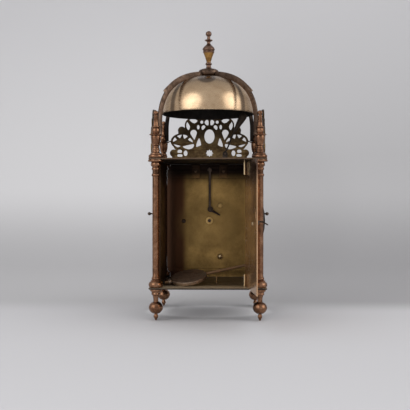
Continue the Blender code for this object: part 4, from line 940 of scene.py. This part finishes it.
def fret_outline():
    foot = [(0, 0), (55.0, 0), (55.0, FRET_RISE)]
    crest = raised([
        *arc((54.0, 10.4), (5.6, 5.6), -60, 120, 16),
        *arc(WHEEL, WHEEL_REACH, -38, -5, 6),
        (59.4, 27.3), (60.8, 27.1), (60.8, 28.9), (59.4, 28.7),
        *arc(WHEEL, WHEEL_REACH, 5, 68, 14),
        *arc((41.7, 44.6), (5.8, 5.8), -24, 140, 14),
        *arc(SCROLL, (12.2, 12.0), -8, 88, 18),
        (22.0, 64.4), (19.0, 63.6), (16.0, 62.6), (13.0, 61.6), (10.0, 61.4), (7.2, 62.2),
        (4.5, 63.4), (2.2, 65.0), (0, 66.5),
    ])
    return mirrored(foot + crest)


def petal(points, steps=3):
    """A leaf-shaped hole: its sides bow out a little between sharp corners."""
    bow = 0.07
    count = len(points)
    middle = sum((Vector(p) for p in points), Vector((0, 0))) / count
    line = []
    for i in range(count):
        a, b = Vector(points[i]), Vector(points[(i + 1) % count])
        out = ((a + b) / 2 - middle).normalized() * (b - a).length * bow
        for k in range(steps):
            t = k / steps
            line.append(tuple(a.lerp(b, t) + out * 4 * t * (1 - t)))
    return line


def inside_rim(points):
    """Keeps a wheel hole's points off the wheel's rim."""
    kept = []
    for x, y in points:
        across = x - WHEEL[0]
        up = y - WHEEL[1]
        reach = max(math.hypot(across / WHEEL_INSIDE[0], up / WHEEL_INSIDE[1]), 1.0)
        kept.append((WHEEL[0] + across / reach, WHEEL[1] + up / reach))
    return kept


def fret_holes():
    """The oval and the star in the middle, then the holes of each side."""
    holes = [raised(arc((0, 35.4), (7.6, 10.6), 0, 360, 40)[:-1])]
    star = []
    for i in range(16):
        radius = 5.7 if i % 2 == 0 else 3.9
        angle = math.radians(22.5 * i)
        star.append((radius * math.cos(angle), 10.4 + radius * math.sin(angle)))
    holes.append(raised(star))
    one_side = [
        inside_rim(petal([(49.4, 37.1), (41.7, 38.8), (44.3, 32.8)])),
        inside_rim(petal([(39.6, 38.8), (32.8, 35.8), (38.0, 31.9)])),
        inside_rim(petal([(53.1, 34.7), (49.2, 30.4), (56.8, 27.2)])),
        inside_rim(petal([(29.3, 33.5), (24.0, 26.4), (32.4, 30.6)])),
        inside_rim(smooth_loop([(55.0, 23.9), (44.1, 21.4), (46.4, 19.6), (49.6, 19.4), (52.6, 21.0)])),
        smooth_loop([(40.0, 20.4), (31.5, 22.6), (23.8, 23.9), (24.6, 18.8), (30.2, 16.3), (36.4, 17.6)]),
        arc((23.9, 40.6), (4.9, 4.9), -10, 190, 14) + [(20.4, 36.0), (22.6, 30.2), (26.4, 35.6)],
        petal([(15.7, 33.0), (12.6, 22.6), (20.2, 19.8)]),
        arc(SCROLL, SCROLL_INSIDE, -48, 32, 10) + [(30.6, 53.4), (29.4, 50.6), (29.8, 47.4)],
        arc(SCROLL, SCROLL_INSIDE, 58, 136, 10) + [(19.8, 56.6), (22.4, 55.2), (26.0, 56.4)],
        arc((16.9, 49.4), (1.9, 3.4), 0, 360, 16)[:-1],
        arc((11.6, 57.0), (2.2, 2.4), 0, 360, 16)[:-1],
        smooth_loop([(8.6, 52.4), (11.9, 49.8), (10.6, 45.2), (6.2, 49.6)]),
        smooth_loop([(1.7, 59.2), (1.7, 52.6), (5.4, 53.2), (7.2, 57.2), (4.6, 60.2)]),
        smooth_loop([(41.9, 11.4), (45.0, 10.9), (48.0, 11.6), (47.4, 14.9), (44.4, 15.6), (41.9, 14.6)]),
        smooth_loop([(41.0, 5.4), (44.4, 5.0), (48.0, 5.6), (47.8, 8.3), (44.4, 8.8), (41.0, 8.3)]),
        arc((36.0, 10.2), (2.9, 4.2), 0, 360, 18)[:-1],
    ]
    for sign in (-1, 1):
        holes += [[(sign * x, y) for x, y in raised(hole)] for hole in one_side]
    return holes


def flat_piece(name, loops, thickness, bevel):
    """A flat plate with holes and eased edges, drawn in X and Z about y = 0."""
    curve = bpy.data.curves.new(name, "CURVE")
    curve.dimensions = "2D"
    curve.fill_mode = "BOTH"
    curve.extrude = thickness / 2 - bevel
    curve.bevel_depth = bevel
    curve.bevel_resolution = 1
    curve.offset = -bevel
    for loop in loops:
        add_line(curve, [(x, y, 0.0) for x, y in loop]).use_cyclic_u = True
    thing = link(name, curve)
    thing.rotation_euler = (math.pi / 2, 0, 0)
    return thing


def make_frets():
    thickness = 2.0 * mm
    middle = thickness / 2
    loops = [[(x * mm, y * mm) for x, y in loop] for loop in [fret_outline(), *fret_holes()]]
    for side, turn in (("front", 0.0), ("right", -math.pi / 2), ("left", math.pi / 2)):
        low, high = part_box(f"{side}_fret")
        plate = flat_piece(f"{side}_fret_plate", loops, thickness, 0.25 * mm)
        plate.data.materials.append(fret_brass)
        plate.location = {
            "front": (0, high.y - middle, low.z),
            "right": (high.x - middle, 0, low.z),
            "left": (low.x + middle, 0, low.z),
        }[side]
        plate.rotation_euler = (math.pi / 2, 0, turn)
        settled(f"{side}_fret_pierced", plate, "case", f"{side}_fret")


# Dial

dial_low, dial_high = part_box("dial_plate")
ring_low, ring_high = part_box("chapter_ring")

# The ring's lines, marks and hours
INNER_LINE = 56.2 * mm
TRACK_LINE = 60.8 * mm
OUTER_LINE = (ring_high.x - ring_low.x) / 2 - 2.6 * mm
QUARTER_R = (INNER_LINE + TRACK_LINE) / 2
HOUR_R = 71.0 * mm
HOUR_HEIGHT = 15.0 * mm
HALF_HOUR_R = 70.5 * mm

# The wax lies a hair off the ring's face
WAX_THICK = 0.06 * mm
WAX_GAP = 0.01 * mm
WAX_PLACE = Vector((
    (ring_low.x + ring_high.x) / 2, ring_high.y + WAX_GAP, (ring_low.z + ring_high.z) / 2,
))

# The hours' strokes, and how far each serif reaches
THICK_STROKE = 2.0 * mm
THIN_STROKE = 0.8 * mm
SERIF = 0.6 * mm
SERIF_I = 1.7 * mm
SERIF_V = 1.4 * mm
SERIF_X = 1.2 * mm
WIDTHS = {"I": 4.0 * mm, "V": 9.0 * mm, "X": 9.0 * mm}


def stroke(shape, start, end, width):
    """A thin raised bar between two points of the dial's face."""
    a, b = Vector(start), Vector(end)
    run = (b - a).normalized()
    side = Vector((-run.y, run.x)) * width / 2
    loop = [a + side, b + side, b - side, a - side]
    face = shape.faces.new([shape.verts.new((p.x, 0.0, p.y)) for p in loop])
    made = bmesh.ops.extrude_face_region(shape, geom=[face], use_keep_orig=True)
    top = [v for v in made["geom"] if isinstance(v, bmesh.types.BMVert)]
    bmesh.ops.translate(shape, verts=top, vec=(0, WAX_THICK, 0))


def bar(shape, x, z, reach, width=SERIF):
    """A level stroke that reaches as far to both sides of x."""
    stroke(shape, (x - reach, z), (x + reach, z), width)


def numeral(text, angle):
    """A roman numeral from plain strokes, standing at its hour of the dial."""
    shape = bmesh.new()
    x = -sum(WIDTHS[c] for c in text) / 2
    half = HOUR_HEIGHT / 2
    for letter in text:
        width = WIDTHS[letter]
        left = x + SERIF_X
        right = x + width - SERIF_X
        middle = x + width / 2
        if letter == "I":
            stroke(shape, (middle, -half), (middle, half), THICK_STROKE)
            bar(shape, middle, half, SERIF_I)
            bar(shape, middle, -half, SERIF_I)
        elif letter == "V":
            stroke(shape, (left, half), (middle, -half), THICK_STROKE)
            stroke(shape, (right, half), (middle, -half), THIN_STROKE)
            bar(shape, left, half, SERIF_V)
            bar(shape, right, half, SERIF_X)
        else:
            stroke(shape, (left, half), (right, -half), THICK_STROKE)
            stroke(shape, (right, half), (left, -half), THIN_STROKE)
            for end in (half, -half):
                bar(shape, left, end, SERIF_X)
                bar(shape, right, end, SERIF_X)
        x += width
    turn = Matrix.Rotation(angle, 4, "Y")
    bmesh.ops.transform(shape, matrix=turn @ Matrix.Translation((0, 0, HOUR_R)), verts=shape.verts[:])
    return shape


def make_dial_plate():
    """The sheet between the front pillars, its edge following their mouldings."""
    play = 0.12 * mm
    edge = []
    for radius, height in pillar_line():
        z = PILLAR_Z + height
        if radius > 1.0 * mm and dial_low.z < z < dial_high.z:
            edge.append((min(dial_high.x, CORNER_X - radius - play), z))
    right = [(edge[0][0], dial_low.z - play), *edge, (edge[-1][0], dial_high.z + play)]
    left = [(-x, z) for x, z in reversed(right)]
    plate = flat_piece("dial_sheet_source", [right + left], dial_high.y - dial_low.y, 0.15 * mm)
    plate.data.materials.append(dial_back)
    plate.location = (0, (dial_low.y + dial_high.y) / 2, 0)
    sheet = settled("dial_sheet", plate, "case", "dial_plate")
    sheet.data.materials.append(sheet_brass)
    for face in sheet.data.polygons:
        face.material_index = 1 if face.normal.y > 0.5 else 0


def wax_piece(name, shape, **copies):
    """A wax shape on the ring's face, or copies of it round the dial."""
    wax = from_bmesh(f"{name}_source", shape, black_wax)
    if copies:
        add_tree(wax, DIAL_MARKS, **copies, Material=black_wax)
    wax.location = WAX_PLACE
    settled(name, wax, "case")


def make_hours():
    whole = bmesh.new()
    for i, text in enumerate("XII I II III IIII V VI VII VIII IX X XI".split()):
        shape = numeral(text, math.tau * i / 12)
        carrier = bpy.data.meshes.new("carrier")
        shape.to_mesh(carrier)
        shape.free()
        whole.from_mesh(carrier)
        bpy.data.meshes.remove(carrier)
    bmesh.ops.transform(whole, matrix=Matrix.Diagonal((-1, 1, 1, 1)), verts=whole.verts[:])
    wax_piece("hour_numerals", whole)


def make_quarter_marks():
    shape = bmesh.new()
    stroke(shape, (0, -1.6 * mm), (0, 1.6 * mm), 0.5 * mm)
    wax_piece("quarter_marks", shape, Copies=48, Radius=QUARTER_R, Phase=0.0)


def make_half_hour_marks():
    """A stem with two bars across it, halfway between the hours."""
    shape = bmesh.new()
    stroke(shape, (0, -3.0 * mm), (0, 3.0 * mm), 1.0 * mm)
    bar(shape, 0, 0.4 * mm, 2.2 * mm, 0.7 * mm)
    bar(shape, 0, 2.2 * mm, 1.3 * mm)
    wax_piece("half_hour_marks", shape, Copies=12, Radius=HALF_HOUR_R, Phase=0.5)


def make_dial_line(name, radius):
    """A thin ring of wax with a square section."""
    half = 0.2 * mm
    steps = 120
    shape = bmesh.new()
    rings = []
    for reach, y in ((-half, 0), (half, 0), (half, WAX_THICK), (-half, WAX_THICK)):
        r = radius + reach
        turns = [math.tau * k / steps for k in range(steps)]
        rings.append([shape.verts.new((r * math.cos(t), y, r * math.sin(t))) for t in turns])
    for a, b in zip(rings, rings[1:] + rings[:1]):
        for k in range(steps):
            j = (k + 1) % steps
            shape.faces.new((a[k], a[j], b[j], b[k]))
    wax_piece(f"dial_line_{name}", shape)


def make_dial():
    refined("chapter_ring", dark_and_shaded_brass, "case", 0.3, front=silvering)
    make_dial_plate()
    make_hours()
    make_quarter_marks()
    make_half_hour_marks()
    make_dial_line("inner", INNER_LINE)
    make_dial_line("track", TRACK_LINE)
    make_dial_line("outer", OUTER_LINE)


# Plain pieces: larger ones with eased corners, small ones as their solids in a new finish

def make_refined():
    for name, material, body, width in (
        ("dial_boss", sheet_brass, "case", 0.3),
        ("left_door", shaded_side_brass, "left_door", 0.2),
        ("right_door", shaded_side_brass, "right_door", 0.2),
        ("rear_door", door_brass, "rear_door", 0.2),
        ("dial_lug_left", lug_brass, "case", 0.35),
        ("dial_lug_right", lug_brass, "case", 0.35),
        ("hammer_cock", dark_and_shaded_brass, "case", 0.25),
        ("rear_latch", dark_steel, "rear_latch", 0.2),
        ("crutch", dark_steel, "crutch", 0.2),
        ("hour_hand", dark_steel, "hour_hand", 0.15),
        ("bell_nut", dark_steel, "case", 0.4),
        ("rating_nut", bob_brass, "case", 0.3),
    ):
        refined(name, material, body, width)
    # Painted shade: the bottom plate's edges and the top plate's underside take the near-black brass
    refined("bottom_plate", dark_and_shaded_brass, "case", 0.35, up=floor_brass)
    refined("top_plate", plate_edge, "case", 0.35, up=plate_brass, down=dark_and_shaded_brass)


def make_clad():
    for material, names in (
        (dark_steel, ("bell_stud", "hand_arbor", "hammer_arbor", "crutch_stud", "dial_stud_left")),
        (dark_steel, ("left_door_knob", "right_door_knob")),
        (sheet_brass, ("hand_collet", "dial_stud_high")),
        (pin_brass, ("rear_door_pintle_low", "rear_door_pintle_high", "latch_rivet")),
        (pin_brass, ("dial_stud_low", "floor_pin")),
        (dark_and_shaded_brass, ("hammer_stem",)),
        (plate_edge, ("lug_screw_left", "lug_screw_right")),
        (bob_brass, ("pendulum_bob",)),
        (rod_iron, ("pendulum_rod",)),
    ):
        for name in names:
            nodes[name].data.materials.clear()
            nodes[name].data.materials.append(material)


# Studio

def make_sweep():
    """A pale sweep: floor, a wide bend, and an upright backdrop."""
    half_width = 4.0
    front = -3.0
    back = 1.6
    top = 3.4
    radius = 0.9
    line = [(front, 0.0), (-1.0, 0.0), (0.0, 0.0), (back - radius, 0.0)]
    for i in range(1, 13):
        angle = math.radians(90 * i / 12)
        line.append((back - radius + radius * math.sin(angle), radius - radius * math.cos(angle)))
    line.append((back, top))
    shape = bmesh.new()
    rows = [[shape.verts.new((x, y, z)) for x in (-half_width, half_width)] for y, z in line]
    for a, b in zip(rows, rows[1:]):
        shape.faces.new((a[0], a[1], b[1], b[0]))
    sweep = from_bmesh("studio_sweep", shape, sweep_paper())
    sweep.data.shade_smooth()


def sweep_paper():
    """Studio paper with painted light: paler at the left and higher up, and a painted lift of the shadow
    under the case and in front of it.
    """
    material, tree, shader = blank("studio_paper")
    shader.inputs["Roughness"].default_value = 0.9
    shader.inputs["Specular IOR Level"].default_value = 0.1
    axes = object_axes(tree)
    behind = ramp(tree, axes["Z"], 0.0, 0.2)
    left = blend(tree, behind, (0.4, 0.395, 0.4, 1), (0.58, 0.575, 0.58, 1))
    right = blend(tree, behind, (0.31, 0.305, 0.31, 1), (0.42, 0.415, 0.42, 1))
    tone = blend(tree, ramp(tree, axes["X"], -0.3, 0.25), left, right)
    upper = ramp(tree, axes["Z"], 0.3, 0.9, smooth=False)
    tone = blend(tree, upper, tone, (0.56, 0.555, 0.565, 1))
    # Painted light: the floor paler in front of the case and under it
    near = ramp(tree, axes["Y"], 0.13, 0.0)
    tone = blend(tree, near, tone, (0.475, 0.47, 0.48, 1))
    tree.links.new(tone, shader.inputs["Base Color"])
    # Painted light: a pale patch under the case that lifts its shadow
    return patch_tone(material, (0.86, 0.85, 0.86), (0, 0.012, 0), (0.088, 0.062, 0.03), strength=0.95)


def make_air():
    world = bpy.data.worlds.new("studio_air")
    bpy.context.scene.world = world
    world.use_nodes = True
    air = world.node_tree.nodes["Background"]
    air.inputs["Color"].default_value = (0.8, 0.8, 0.82, 1)
    air.inputs["Strength"].default_value = 0.69


def make_lamps():
    """Each lamp's place, width, power, aim, and whether the metal mirrors it."""
    clock = (0, 0, 0.24)
    for name, place, width, power, target, mirrored_in in (
        ("left_softbox", (-1.17, -1.3, 1.0), 1.6, 8.8, clock, True),
        ("left_lamp", (-1.2, -1.33, 0.94), 0.6, 0.6, clock, True),
        ("right_softbox", (1.62, -0.7, 1.0), 1.6, 9.0, clock, True),
        ("right_lamp", (1.65, -0.72, 0.94), 0.6, 0.8, clock, True),
        ("front_lamp", (-0.34, -1.75, 0.35), 0.16, 9.0, (0, 0.07, 0.13), False),
        ("overhead", (0.0, -0.1, 2.2), 3.6, 33.0, (0, 0.1, 0.0), False),
    ):
        lamp = bpy.data.lights.new(name, "AREA")
        lamp.shape = "DISK"
        lamp.size = width
        lamp.energy = power
        thing = link(name, lamp)
        thing.location = place
        thing.rotation_euler = (Vector(target) - Vector(place)).to_track_quat("-Z", "Y").to_euler()
        thing.visible_glossy = mirrored_in
        thing.visible_camera = False


def make_camera():
    """Seen from behind at the height of the case, a long lens from a metre away."""
    lens = bpy.data.cameras.new("camera")
    lens.sensor_width = 36.0
    lens.lens = 66.33
    lens.clip_start = 0.01
    lens.clip_end = 20.0
    camera = link("camera", lens)
    camera.location = (17.2 * mm, -1062.1 * mm, 159.9 * mm)
    camera.rotation_euler = (math.pi / 2 - 0.00794, 0.0, 0.02105)
    bpy.context.scene.camera = camera


make_turned()
make_straps()
make_frets()
make_dial()
make_refined()
make_clad()
make_sweep()
make_air()
make_lamps()
make_camera()
bpy.context.scene.view_settings.view_transform = "Standard"
